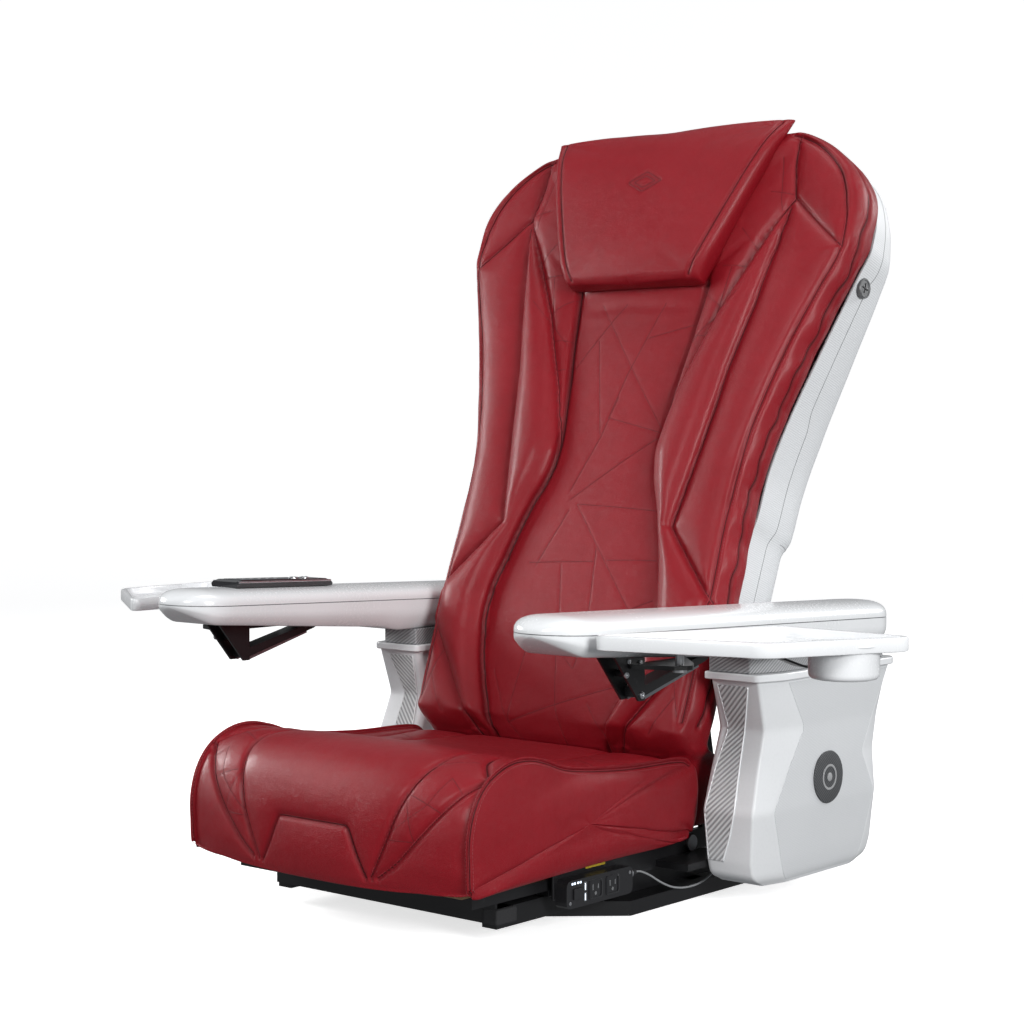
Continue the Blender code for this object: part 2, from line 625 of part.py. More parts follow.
def build_remote(arm, keys):
    """The remote control that lies on the right armrest, with two keys that travel."""
    x, y0, y1 = -ARM_X, -0.375, -0.165
    sections = []
    for y, height in ((y0, 0.009), (y0 + 0.012, 0.012), (y1 - 0.012, 0.012), (y1, 0.008)):
        low = remote_top(y) - 0.012
        sections.append([(x - 0.029, y, low), (x + 0.029, y, low), (x + 0.031, y, low + height * 0.6),
                         (x + 0.027, y, low + height), (x - 0.027, y, low + height),
                         (x - 0.031, y, low + height * 0.6)])
    remote = piece("remote_body", loft(sections), DARK, arm)
    for number, y in enumerate(KEY_Y, start=1):
        top = remote_top(y)
        cut(remote, rod((x, y, top - 0.0060), (x, y, top + 0.01), 0.0068, 20), arm)
        key = turned([(0.0062, -0.0035), (0.0062, 0.0012), (0.0050, 0.0020)], (x, y, top), (0, 0, 1), 16)
        piece(f"remote_key_{number}", key, BRIGHT, keys[number - 1])


# ---------------------------------------------------------------- backrest
def build_back_cushion(holder):
    """The back cushion: a pad that follows the lean, with a foot behind the seat cushion."""
    sections = []
    for half, front, rear in ((0.262, (0.004, 0.1030), (0.078, 0.1030)),
                              (0.279, (0.004, 0.2240), (0.0855, 0.1900)),
                              (0.281, (-0.0253, 0.2620), (0.0405, 0.2377))):
        sections.append([(-half, *front), (half, *front), (half, *rear), (-half, *rear)])
    for s, half in ((0.180, 0.285), (0.287, 0.287), (0.400, 0.283), (0.514, 0.286), (0.600, 0.305),
                    (0.720, 0.340), (0.840, 0.378), (0.895, 0.396), (0.930, 0.394), (1.001, 0.372),
                    (1.055, 0.312), (1.080, 0.262), (BACK_TOP, 0.240)):
        ring = [back(-half, s, 0.0), back(half, s, 0.0), back(half, s, CUSHION_T), back(-half, s, CUSHION_T)]
        sections.append(ring)
    piece("back_cushion", loft(sections), LEATHER, holder)


def build_pillow(holder):
    """The head pillow: a trapezoid pad that stands proud of the cushion's top."""
    sections = []
    for s, half, thick in ((0.806, 0.128, 0.018), (0.815, 0.140, 0.036), (0.860, 0.156, 0.042),
                           (0.980, 0.203, 0.042), (1.075, 0.240, 0.030), (1.092, 0.244, 0.016)):
        sections.append([back(-half, s, -thick), back(half, s, -thick), back(half, s, -GAP),
                         back(-half, s, -GAP)])
    piece("head_pillow", loft(sections), LEATHER, holder)


SHELL_STATIONS = [
    # s, half width, depth at the side edge, depth in the middle
    (0.165, 0.268, 0.120, 0.205),
    (0.300, 0.276, 0.130, 0.213),
    (0.400, 0.276, 0.135, 0.216),
    (0.430, 0.280, 0.150, 0.226),
    (0.514, 0.285, 0.150, 0.228),
    (0.600, 0.302, 0.145, 0.226),
    (0.720, 0.337, 0.135, 0.212),
    (0.840, 0.374, 0.125, 0.192),
    (0.895, 0.391, 0.115, 0.176),
    (0.950, 0.388, 0.105, 0.155),
    (1.001, 0.366, 0.098, 0.130),
    (1.050, 0.312, 0.090, 0.106),
    (1.083, 0.250, 0.082, 0.088),
]


def shell_ring(station, inset, front):
    """One section of the shell: flat in front, straight sides, a rounded rear."""
    s, half, edge, middle = station
    half, edge, middle = half - inset, edge - inset, middle - inset
    points = [(-half, front)]
    for i in range(9):
        u = -1.0 + i / 4.0
        points.append((half * math.sin(u * math.pi / 2.0), edge + (middle - edge) * (1.0 - u ** 4)))
    points.append((half, front))
    return [back(x, s, t) for x, t in points]


def build_shell(holder):
    """The hollow rear shell, open to the cushion and at its foot, with a notch for the actuator."""
    shell = piece("back_shell", loft([shell_ring(s, 0.0, CUSHION_T + GAP) for s in SHELL_STATIONS]),
                  WHITE, holder)
    inner = []
    for i, station in enumerate(SHELL_STATIONS):
        s = station[0]
        if i == 0:
            s -= 0.03
        if i == len(SHELL_STATIONS) - 1:
            s -= WALL
        inner.append(shell_ring((s, *station[1:]), WALL, CUSHION_T - 0.02))
    cut(shell, loft(inner), holder)
    notch = back_block((-0.080, 0.080), (0.100, 0.262), (0.110, 0.300))
    cut(shell, notch, holder)


def build_back_frame(holder):
    """Steel uprights, crossbars and clevis welded into one frame, and the clevis pin."""
    frame = piece("back_frame", back_upright(1.0), STEEL, holder)
    weld(frame, back_upright(-1.0), holder)
    for s in (0.285, 0.910):
        weld(frame, back_block((-0.2290, 0.2290), (s, s + 0.030), (0.0745, 0.0940)), holder)
    for _, sign in SIDES:
        weld(frame, back_block(sorted((sign * 0.0200, sign * 0.0250)), (0.2870, 0.3130), (0.0900, 0.1500)), holder)
    top = actuator_head()
    cut(frame, rod((-0.260, *HINGE), (0.260, *HINGE), HINGE_R + 0.0006, 24), holder)
    cut(frame, rod((-0.060, top.y, top.z), (0.060, top.y, top.z), 0.0066, 24), holder)
    pin = rod((-0.031, top.y, top.z), (0.031, top.y, top.z), 0.006, 20)
    piece("clevis_pin", pin, BRIGHT, holder)


def back_upright(sign):
    """A side upright: a round foot on the recline axis and a long arm along the lean."""
    outline = [(HINGE[0], HINGE[1] - 0.0160), (0.112, 0.0665), (0.122, 0.190)]
    far = [back(0, s, t) for s, t in ((0.150, 0.100), (0.945, 0.100), (0.945, 0.0725), (0.165, 0.0725))]
    outline += [(p.y, p.z) for p in far] + [(0.0872, 0.205), (0.0872, 0.0990), (HINGE[0], 0.0980)]
    outline += arc(HINGE, 0.0160, 100, 260, 8)
    return prism(outline, "x", *sorted((sign * 0.2252, sign * 0.2337)))


def actuator_head():
    """Where the actuator's rod meets the back frame at rest."""
    return back(0.0, 0.300, 0.130)


def build_massage(holder, screw_holder, carriage, discs):
    """Track, lead screw and motor on the back frame, and the carriage with two massage heads."""
    track = piece("massage_track", back_block((0.0940, 0.1020), (0.290, 0.945), (0.1280, 0.1520)), BRIGHT, holder)
    weld(track, back_block((-0.1020, -0.0940), (0.290, 0.945), (0.1280, 0.1520)), holder)
    for _, sign in SIDES:
        for s in (0.2885, 0.9125):
            foot = back_block(sorted((sign * 0.0930, sign * 0.1030)), (s, s + 0.026), (0.0943, 0.1300))
            weld(track, foot, holder)
    for s in (0.330, 0.9150):
        weld(track, back_block((-0.0950, 0.0950), (s, s + 0.013), (0.1300, 0.1500)), holder)
    motor = back_block((-0.028, 0.028), (0.858, 0.9147), (0.112, 0.166))
    bevel(piece("massage_motor", motor, DARK, holder), 0.006, 2)
    screw = rod(back(0, 0.3435, 0.145), back(0, 0.8575, 0.145), 0.006, 16)
    piece("massage_screw", screw, BRIGHT, screw_holder)
    block_mesh = back_block((-0.0930, 0.0930), CARRIAGE_S, (0.1250, 0.1640))
    box = piece("massage_carriage", block_mesh, DARK, carriage)
    drive = rod(back(0.050, CARRIAGE_S[0] + 0.02, 0.1700), back(0.050, CARRIAGE_S[1] - 0.02, 0.1700), 0.010, 16)
    weld(box, drive, carriage)
    bore = rod(back(0, CARRIAGE_S[0] - 0.05, 0.145), back(0, CARRIAGE_S[1] + 0.05, 0.145), 0.0068, 24)
    cut(box, bore, carriage)
    middle = 0.5 * (CARRIAGE_S[0] + CARRIAGE_S[1])
    for (side, sign), disc in zip(SIDES, discs):
        centre = back(sign * 0.045, middle, 0.0)
        plate = turned([(0.040, 0.0), (0.042, -0.002), (0.042, -0.010), (0.038, -0.0125)],
                       centre + REAR * 0.1245, REAR, 28)
        plate = piece("massage_disc_" + side, plate, DARK, disc)
        for turn in (0.0, math.pi):
            spot = back(sign * 0.045 + 0.022 * math.cos(turn), middle + 0.022 * math.sin(turn), 0.1140)
            dome = [(0.015, 0.0), (0.0155, -0.014)]
            for k in range(1, 5):
                angle = k * math.pi / 10.0
                dome.append((0.0155 * math.cos(angle), -0.014 - 0.0155 * math.sin(angle)))
            weld(plate, turned(dome, spot, REAR, 16), disc)


def build_actuator(tube_holder, rod_holder):
    """The recline actuator: a tube with its motor and foot, and the rod that slides in it."""
    foot = Vector((0.0, *ACTUATOR_FOOT))
    along = (actuator_head() - foot).normalized()
    tube = piece("actuator_tube", rod(foot + along * 0.010, foot + along * 0.250, 0.0200, 24), STEEL, tube_holder)
    offset = Vector((-0.0400, 0.0, 0.0))
    weld(tube, rod(foot + along * 0.080 + offset, foot + along * 0.190 + offset, 0.0225, 20), tube_holder)
    weld(tube, rod((-0.0215, *ACTUATOR_FOOT), (0.0215, *ACTUATOR_FOOT), 0.0145, 24), tube_holder)
    cut(tube, rod(foot + along * 0.034, foot + along * 0.300, 0.0125, 24), tube_holder)
    cut(tube, rod((-0.05, *ACTUATOR_FOOT), (0.05, *ACTUATOR_FOOT), 0.0066, 24), tube_holder)
    head = actuator_head()
    shaft = piece("actuator_rod", rod(foot + along * 0.135, foot + along * (ACTUATOR_LENGTH - 0.014), 0.0115, 20),
                  BRIGHT, rod_holder)
    weld(shaft, rod((-0.0190, head.y, head.z), (0.0190, head.y, head.z), 0.0170, 24), rod_holder)
    cut(shaft, rod((-0.05, head.y, head.z), (0.05, head.y, head.z), 0.0130, 24), rod_holder)


# ---------------------------------------------------------------- assembly
def main():
    """Build every piece on its body."""
    base = body("base")
    seat = body("seat", (0.0, -0.2, 0.070))
    build_base(base, body("slide_screw", (SCREW_X, -0.140, SCREW_Z)))
    build_seat(seat)
    build_posts(seat)
    backrest = body("backrest", (0.0, *HINGE))
    build_back_cushion(backrest)
    build_pillow(backrest)
    build_shell(backrest)
    build_back_frame(backrest)
    middle = 0.5 * (CARRIAGE_S[0] + CARRIAGE_S[1])
    discs = [body("disc_" + side, back(sign * 0.045, middle, 0.118)) for side, sign in SIDES]
    build_massage(backrest, body("massage_screw", back(0, 0.6, 0.145)),
                  body("carriage", back(0, middle, 0.145)), discs)
    build_actuator(body("actuator", (0.0, *ACTUATOR_FOOT)), body("actuator_rod", tuple(actuator_head())))
    for side, sign in SIDES:
        arm = body("arm_" + side, (sign * ARM_X, ARM_PIN_Y, NECK_TOP))
        build_arm(side, sign, arm)
        turn = TRAY_OUT if side == "left" else 0.0
        tray = body("tray_" + side, (sign * TRAY_PIN[0], TRAY_PIN[1], TRAY_Z[0]))
        lever_xy = tray_point((0.541, -0.249), sign, turn)
        build_tray(side, sign, turn, tray, body("lever_" + side, (*lever_xy, 0.423)))
        if side == "right":
            keys = [body(f"key_{i}", (-ARM_X, y, remote_top(y))) for i, y in enumerate(KEY_Y, start=1)]
            build_remote(arm, keys)


main()
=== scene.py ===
"""Looks of a spa massage chair top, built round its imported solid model.

The upholstery is grown from closed forms, inflated as cloth between pinned seams and then sewn.
The moulded shells, arms and trays are smooth surfaces, and the steel keeps its solid shape and gets
its finish here. Metres, +Z up, the sitter faces -Y.
"""
import logging
import math
from dataclasses import dataclass
from enum import Enum
from typing import Any, Iterable, Sequence

import bmesh
import bpy
import numpy as np
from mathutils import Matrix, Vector
from mathutils.bvhtree import BVHTree


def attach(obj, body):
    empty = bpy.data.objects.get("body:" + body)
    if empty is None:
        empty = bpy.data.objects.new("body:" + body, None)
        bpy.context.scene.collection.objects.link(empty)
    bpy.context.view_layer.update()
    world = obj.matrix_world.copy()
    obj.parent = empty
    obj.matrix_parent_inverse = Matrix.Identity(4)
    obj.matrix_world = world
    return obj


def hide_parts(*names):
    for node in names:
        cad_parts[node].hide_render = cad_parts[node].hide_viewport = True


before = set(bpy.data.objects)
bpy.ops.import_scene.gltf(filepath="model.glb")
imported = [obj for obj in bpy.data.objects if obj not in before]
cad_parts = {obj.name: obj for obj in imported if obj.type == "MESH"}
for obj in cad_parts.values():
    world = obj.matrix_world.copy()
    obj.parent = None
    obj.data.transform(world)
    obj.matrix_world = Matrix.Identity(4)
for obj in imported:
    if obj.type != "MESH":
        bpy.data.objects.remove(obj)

Array = np.ndarray
Laid = tuple[Array, Array]  # a line with the directions that belong to it
log = logging.getLogger("chair")
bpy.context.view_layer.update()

ACROSS = np.array([1.0, 0.0, 0.0])
UPWARD = np.array([0.0, 0.0, 1.0])
BACK_ORIGIN = np.array([0.0, -0.048, 0.200])
BACK_TILT = math.radians(20.25)
UP = np.array([0.0, math.sin(BACK_TILT), math.cos(BACK_TILT)])
REAR = np.array([0.0, math.cos(BACK_TILT), -math.sin(BACK_TILT)])


class Side(Enum):
    """The two sides of the chair, as the sitter has them."""

    LEFT = 1.0
    RIGHT = -1.0

    @property
    def word(self) -> str:
        """The side's name in lower case."""
        return self.name.lower()

    @property
    def flip(self) -> Array:
        """The factors that put a left-hand point on this side."""
        return np.array([self.value, 1.0, 1.0])


def back(x: Any, s: Any, t: Any) -> Array:
    """Points of the backrest.

    Args:
        x: Distance across.
        s: Distance along the lean.
        t: Distance behind the cushion's front plane.

    Returns:
        The points, with a last axis of three.
    """
    x, s, t = np.broadcast_arrays(np.asarray(x, float), np.asarray(s, float), np.asarray(t, float))
    return BACK_ORIGIN + x[..., None] * ACROSS + s[..., None] * UP + t[..., None] * REAR


def smooth_table(at: Any, knots: Sequence[float], values: Sequence[float]) -> Array:
    """A smooth curve through a few knots.

    Each span is a cubic whose end slopes are the mean of the neighbouring spans' slopes, set to
    zero where those change sign, so that the curve never overshoots.

    Args:
        at: Where to read the curve.
        knots: Rising positions.
        values: The value at each knot.

    Returns:
        The curve's values.
    """
    at, knots, values = np.asarray(at, float), np.asarray(knots, float), np.asarray(values, float)
    rise = np.diff(values) / np.diff(knots)
    slope = np.concatenate([rise[:1], 0.5 * (rise[1:] + rise[:-1]), rise[-1:]])
    slope[1:-1] = np.where(rise[1:] * rise[:-1] <= 0.0, 0.0, slope[1:-1])
    clipped = np.clip(at, knots[0], knots[-1])
    i = np.clip(np.searchsorted(knots, clipped, side="right") - 1, 0, len(knots) - 2)
    width = knots[i + 1] - knots[i]
    f = (clipped - knots[i]) / width
    return ((1 + 2 * f) * (1 - f) ** 2 * values[i] + f * (1 - f) ** 2 * width * slope[i]
            + f * f * (3 - 2 * f) * values[i + 1] + f * f * (f - 1) * width * slope[i + 1])


def ease(value: Array) -> Array:
    """A smooth step from 0 to 1 over the range 0 to 1: three squares less two cubes."""
    f = np.clip(value, 0.0, 1.0)
    return f * f * (3.0 - 2.0 * f)


def unit(vectors: Array) -> Array:
    """Vectors scaled to a length of one."""
    return vectors / np.maximum(np.linalg.norm(vectors, axis=-1, keepdims=True), 1e-9)


def resample(points: Any, step: float) -> Array:
    """A polyline's points spread evenly.

    Args:
        points: Rows of points.
        step: The wanted distance between points.

    Returns:
        Points at equal distances along the same line, both ends kept.
    """
    points = np.asarray(points, float)
    run = np.concatenate([[0.0], np.cumsum(np.linalg.norm(np.diff(points, axis=0), axis=1))])
    count = max(int(round(run[-1] / step)), 2)
    at = np.linspace(0.0, run[-1], count + 1)
    return np.stack([np.interp(at, run, points[:, k]) for k in range(points.shape[1])], axis=1)


def curved(points: Any, steps: int = 6) -> Array:
    """A Catmull-Rom curve through points.

    Args:
        points: Rows of points.
        steps: Points to a span.

    Returns:
        The curve's points.
    """
    p = np.asarray(points, float)
    p = np.concatenate([p[:1], p, p[-1:]])
    f = np.arange(steps)[:, None] / steps
    spans = [0.5 * (2 * b + (c - a) * f + (2 * a - 5 * b + 4 * c - d) * f ** 2
                    + (3 * b - a - 3 * c + d) * f ** 3)
             for a, b, c, d in zip(p, p[1:], p[2:], p[3:])]
    return np.concatenate([*spans, p[-1:]])


def rounded(corners: Sequence[Sequence[float]], radius: float, steps: int = 6) -> Array:
    """A closed polygon whose corners are short parabolic arcs.

    Args:
        corners: The polygon's corners.
        radius: How far along each side a corner's arc starts.
        steps: Points to an arc, less one.

    Returns:
        The outline's points.
    """
    here = np.asarray(corners, float)
    before, after = np.roll(here, 1, 0) - here, np.roll(here, -1, 0) - here
    reach = [np.minimum(radius, np.linalg.norm(v, axis=1, keepdims=True) * 0.45) for v in (before, after)]
    start, end = here + unit(before) * reach[0], here + unit(after) * reach[1]
    f = np.linspace(0.0, 1.0, steps + 1)[None, :, None]
    arcs = (1 - f) ** 2 * start[:, None] + 2 * f * (1 - f) * here[:, None] + f ** 2 * end[:, None]
    return arcs.reshape(-1, here.shape[1])


def distance_to(points: Array, lines: Iterable[Array], reach: float) -> Array:
    """Least distance from each point to any of the lines.

    Every segment is tested against the points in its own neighbourhood only, by the foot of the
    perpendicular kept between the segment's ends.

    Args:
        points: The points.
        lines: Polylines in the same space.
        reach: The distance past which a point counts as that far.

    Returns:
        One distance for each point, at most reach.
    """
    best = np.full(len(points), reach)
    for line in lines:
        near = np.nonzero(np.all((points > line.min(0) - reach) & (points < line.max(0) + reach), axis=1))[0]
        if not len(near):
            continue
        part, least = points[near], best[near]
        for a, b in zip(line[:-1], line[1:]):
            run = b - a
            f = np.clip((part - a) @ run / max(run @ run, 1e-12), 0.0, 1.0)
            least = np.minimum(least, np.linalg.norm(part - a - f[:, None] * run, axis=1))
        best[near] = least
    return best


def inside(points: Array, corners: Any) -> Array:
    """Which flat points lie inside a polygon, by counting the sides that a ray crosses."""
    corners = np.asarray(corners, float)
    hits = np.zeros(len(points), int)
    for (ax, ay), (bx, by) in zip(corners, np.roll(corners, -1, 0)):
        spans = (points[:, 1] < ay) != (points[:, 1] < by)
        cross = ax + (points[:, 1] - ay) * (bx - ax) / (by - ay if by != ay else 1e-12)
        hits += spans & (points[:, 0] < cross)
    return hits % 2 == 1


# ---------------------------------------------------------------- meshes
class Surface:
    """Collects grids and closed rings of points and turns them into one piece."""

    def __init__(self) -> None:
        """Start with no points."""
        self.points: list[Array] = []
        self.faces: list[tuple[int, ...]] = []
        self.count = 0

    def _add(self, points: Array, faces: list[tuple[int, ...]]) -> None:
        """Keep points and the faces that count from the first of them."""
        self.faces += [tuple(i + self.count for i in face) for face in faces]
        self.points.append(points.reshape(-1, 3))
        self.count += points.reshape(-1, 3).shape[0]

    def grid(self, points: Array, loop: bool = False, caps: bool = False) -> "Surface":
        """Add a grid of quads.

        Args:
            points: Rows along a path, columns across it.
            loop: Whether the last column joins the first.
            caps: Whether the first and last rows are closed with a fan each.

        Returns:
            This surface.
        """
        rows, cols = points.shape[:2]
        index = np.arange(rows * cols).reshape(rows, cols)
        if loop:
            index = np.concatenate([index, index[:, :1]], axis=1)
        quads = np.stack([index[:-1, :-1], index[:-1, 1:], index[1:, 1:], index[1:, :-1]], -1)
        faces = [tuple(face) for face in quads.reshape(-1, 4).tolist()]
        flat = points.reshape(-1, 3)
        if caps:
            ends = np.stack([points[0].mean(0), points[-1].mean(0)])
            flat = np.concatenate([flat, ends])
            top, bottom = rows * cols, rows * cols + 1
            faces += [(top, b, a) for a, b in zip(index[0, :-1].tolist(), index[0, 1:].tolist())]
            faces += [(bottom, a, b) for a, b in zip(index[-1, :-1].tolist(), index[-1, 1:].tolist())]
        self._add(flat, faces)
        return self

    def many(self, stacks: Array) -> "Surface":
        """Add many closed, capped rings stacks: an array of copies, rows, columns and three."""
        for stack in stacks:
            self.grid(stack, loop=True, caps=True)
        return self

    def prism(self, outline: Array, levels: Sequence[float], axis: int = 2) -> "Surface":
        """Add a flat outline extruded along an axis.

        Args:
            outline: The outline's points in the other two axes.
            levels: Where it starts and ends along the axis.
            axis: 0, 1 or 2 for x, y or z.

        Returns:
            This surface.
        """
        outline = np.asarray(outline, float)
        rings = np.stack([np.insert(outline, axis, level, axis=1) for level in levels])
        count = len(outline)
        index = np.arange(2 * count).reshape(2, count)
        across = np.roll(index, -1, axis=1)
        quads = np.stack([index[0], across[0], across[1], index[1]], 1).tolist()
        caps = [tuple(index[0, ::-1].tolist()), tuple(index[1].tolist())]
        self._add(rings.reshape(-1, 3), [tuple(quad) for quad in quads] + caps)
        return self

    def box(self, low: Sequence[float], high: Sequence[float]) -> "Surface":
        """Add a box between two corners."""
        (x0, y0, z0), (x1, y1, z1) = low, high
        return self.prism(np.array([(x0, y0), (x1, y0), (x1, y1), (x0, y1)]), (z0, z1))

    def turned(self, profile: Any, centre: Any, axis: Any, sides: int = 48) -> "Surface":
        """Add a closed turned body.

        Args:
            profile: Rows of radius and height, from one end of the axis to the other.
            centre: Where height zero is.
            axis: The direction of height.
            sides: Points round the axis.

        Returns:
            This surface.
        """
        profile = np.asarray(profile, float)
        axis = unit(np.asarray(axis, float))
        first = unit(np.cross(axis, ACROSS if abs(axis[0]) < 0.9 else UPWARD))
        second = np.cross(axis, first)
        angle = np.linspace(0.0, 2.0 * math.pi, sides, endpoint=False)
        spoke = np.cos(angle)[:, None] * first + np.sin(angle)[:, None] * second
        rings = (np.asarray(centre, float) + profile[:, 1, None, None] * axis
                 + profile[:, 0, None, None] * spoke[None])
        return self.grid(rings, loop=True, caps=True)

    def tube(self, line: Array, radius: float, sides: int = 10) -> "Surface":
        """Add a round tube along a polyline.

        Args:
            line: The centre line.
            radius: The tube's radius.
            sides: Points round the tube.

        Returns:
            This surface.
        """
        tangent = unit(np.gradient(line, axis=0))
        side = unit(np.cross(tangent, UPWARD + 0.01 * ACROSS))
        other = np.cross(side, tangent)
        angle = np.linspace(0.0, 2.0 * math.pi, sides, endpoint=False)
        ring = np.cos(angle)[None, :, None] * side[:, None] + np.sin(angle)[None, :, None] * other[:, None]
        return self.grid(line[:, None] + radius * ring, loop=True, caps=True)

    def build(self, name: str, crease: float = 32.0, outward: bool = True) -> bpy.types.Object:
        """Make the piece.

        Args:
            name: Its name.
            crease: Edges that turn by more degrees than this look sharp.
            outward: Whether the faces of closed bodies are turned to point out.

        Returns:
            The object, with its place in its mesh.
        """
        mesh = bpy.data.meshes.new(name)
        mesh.from_pydata(np.concatenate(self.points).tolist(), [], self.faces)
        shape = bmesh.new()
        shape.from_mesh(mesh)
        bmesh.ops.remove_doubles(shape, verts=shape.verts, dist=2e-6)
        bmesh.ops.dissolve_degenerate(shape, edges=shape.edges, dist=1e-7)
        if outward:
            bmesh.ops.recalc_face_normals(shape, faces=shape.faces)
        shape.to_mesh(mesh)
        shape.free()
        mesh.shade_smooth()
        mesh.set_sharp_from_angle(angle=math.radians(crease))
        obj = bpy.data.objects.new(name, mesh)
        bpy.context.scene.collection.objects.link(obj)
        return obj


def coordinates(obj: bpy.types.Object) -> Array:
    """A mesh's points as an array."""
    flat = np.zeros(len(obj.data.vertices) * 3, np.float32)
    obj.data.vertices.foreach_get("co", flat)
    return flat.reshape(-1, 3).astype(float)


def move_points(obj: bpy.types.Object, points: Array) -> None:
    """Put a mesh's points somewhere else."""
    obj.data.vertices.foreach_set("co", points.astype(np.float32).ravel())
    obj.data.update()


def normals(obj: bpy.types.Object) -> Array:
    """The smooth normal at each of a mesh's points."""
    flat = np.zeros(len(obj.data.vertices) * 3, np.float32)
    obj.data.vertex_normals.foreach_get("vector", flat)
    return flat.reshape(-1, 3).astype(float)


def settle(obj: bpy.types.Object) -> bpy.types.Object:
    """Replace a piece's mesh by what its modifiers make of it, and drop the modifiers."""
    bpy.context.view_layer.update()
    evaluated = obj.evaluated_get(bpy.context.evaluated_depsgraph_get())
    mesh = bpy.data.meshes.new_from_object(evaluated)
    obj.modifiers.clear()
    obj.data = mesh
    return obj


def soften(obj: bpy.types.Object, width: float, segments: int = 3, angle: float = 35.0) -> bpy.types.Object:
    """Round a piece's hard edges.

    Args:
        obj: The piece.
        width: How wide each rounding is.
        segments: Faces across it.
        angle: The least angle in degrees that counts as an edge.

    Returns:
        The piece.
    """
    mod = obj.modifiers.new("edges", "BEVEL")
    mod.width = width
    mod.segments = segments
    mod.limit_method = "ANGLE"
    mod.angle_limit = math.radians(angle)
    mod.harden_normals = True
    return obj


def carve(obj: bpy.types.Object, cutter: Surface, crease: float) -> bpy.types.Object:
    """Take a shape away from a piece, for good; edges that turn by more degrees than crease look sharp."""
    tool = cutter.build("cutter_" + obj.name)
    mod = obj.modifiers.new("cut", "BOOLEAN")
    mod.operation = "DIFFERENCE"
    mod.object = tool
    settle(obj)
    bpy.data.objects.remove(tool)
    obj.data.shade_smooth()
    obj.data.set_sharp_from_angle(angle=math.radians(crease))
    return obj


def ribbon(surface: Surface, line: Array, normal: Array, width: float, height: float, lift: float) -> None:
    """Add a low half-round cord that lies on a surface.

    Its section is an ellipse: the half width times the cosine across, the height times the sine up.

    Args:
        surface: Where the cord is added.
        line: Its line on the surface.
        normal: The surface's normal at each of its points.
        width: Its full width.
        height: Half its full thickness.
        lift: How far its middle stands off the surface.
    """
    if len(line) < 2:
        return
    across = unit(np.cross(unit(np.gradient(line, axis=0)), normal))
    angle = np.linspace(0.0, 2.0 * math.pi, 8, endpoint=False)
    section = (0.5 * width * np.cos(angle)[None, :, None] * across[:, None]
               + (lift + height * np.sin(angle))[None, :, None] * normal[:, None])
    surface.grid(line[:, None] + section, loop=True, caps=True)


def stitches(surface: Surface, line: Array, normal: Array, pitch: float, length: float, thick: float,
             aside: float = 0.0) -> None:
    """Add a row of stitches, each a short capsule half sunk in the surface.

    Args:
        surface: Where the stitches are added.
        line: The row's line on the surface.
        normal: The surface's normal at its points.
        pitch: Distance from one stitch to the next.
        length: A stitch's length.
        thick: A stitch's radius.
        aside: How far the row is moved to one side of the line.
    """
    run = np.concatenate([[0.0], np.cumsum(np.linalg.norm(np.diff(line, axis=0), axis=1))])
    at = np.arange(pitch * 0.5, run[-1], pitch)
    if len(at) < 2:
        return
    middle = np.stack([np.interp(at, run, line[:, k]) for k in range(3)], 1)
    up = unit(np.stack([np.interp(at, run, normal[:, k]) for k in range(3)], 1))
    along = unit(np.gradient(middle, axis=0))
    side = unit(np.cross(along, up))
    step = np.array([-0.5, -0.36, 0.0, 0.36, 0.5])
    size = np.array([0.35, 0.9, 1.0, 0.9, 0.35]) * thick
    angle = np.linspace(0.0, 2.0 * math.pi, 6, endpoint=False)
    rings = (middle[:, None, None] + (step * length)[None, :, None, None] * along[:, None, None]
             + (size[:, None] * np.cos(angle))[None, :, :, None] * side[:, None, None]
             + (size[:, None] * np.sin(angle) + thick * 0.3)[None, :, :, None] * up[:, None, None])
    surface.many(rings + (aside * side)[:, None, None])


# ---------------------------------------------------------------- shaders
class Value:
    """A shader socket that takes part in Python sums: each operator adds one Math node."""

    def __init__(self, graph: "Graph", socket: Any) -> None:
        """Wrap an output socket of a graph."""
        self.graph = graph
        self.socket = socket

    def math(self, operation: str, *others: Any) -> "Value":
        """One Math node with this value first."""
        sockets = dict(enumerate((self, *others)))
        return self.graph.node("ShaderNodeMath", {"operation": operation}, sockets).out()

    def __add__(self, other: Any) -> "Value":
        """Sum."""
        return self.math("ADD", other)

    __radd__ = __add__

    def __mul__(self, other: Any) -> "Value":
        """Product."""
        return self.math("MULTIPLY", other)

    __rmul__ = __mul__

    def __rsub__(self, other: Any) -> "Value":
        """Difference from something else."""
        return self.graph.node("ShaderNodeMath", {"operation": "SUBTRACT"}, {0: other, 1: self}).out()

    def step(self, low: float, high: float) -> "Value":
        """A smooth step from 0 at low to 1 at high."""
        node = self.graph.node("ShaderNodeMapRange", {"interpolation_type": "SMOOTHSTEP"},
                               {0: self, 1: low, 2: high, 3: 0.0, 4: 1.0})
        return node.out()


class Wrapped:
    """A node whose outputs come out as values."""

    def __init__(self, graph: "Graph", node: bpy.types.Node) -> None:
        """Wrap a node of a graph."""
        self.graph = graph
        self.node = node

    def out(self, name: Any = 0) -> Value:
        """One output, by name or number."""
        return Value(self.graph, self.node.outputs[name])


Colour = tuple[float, float, float]


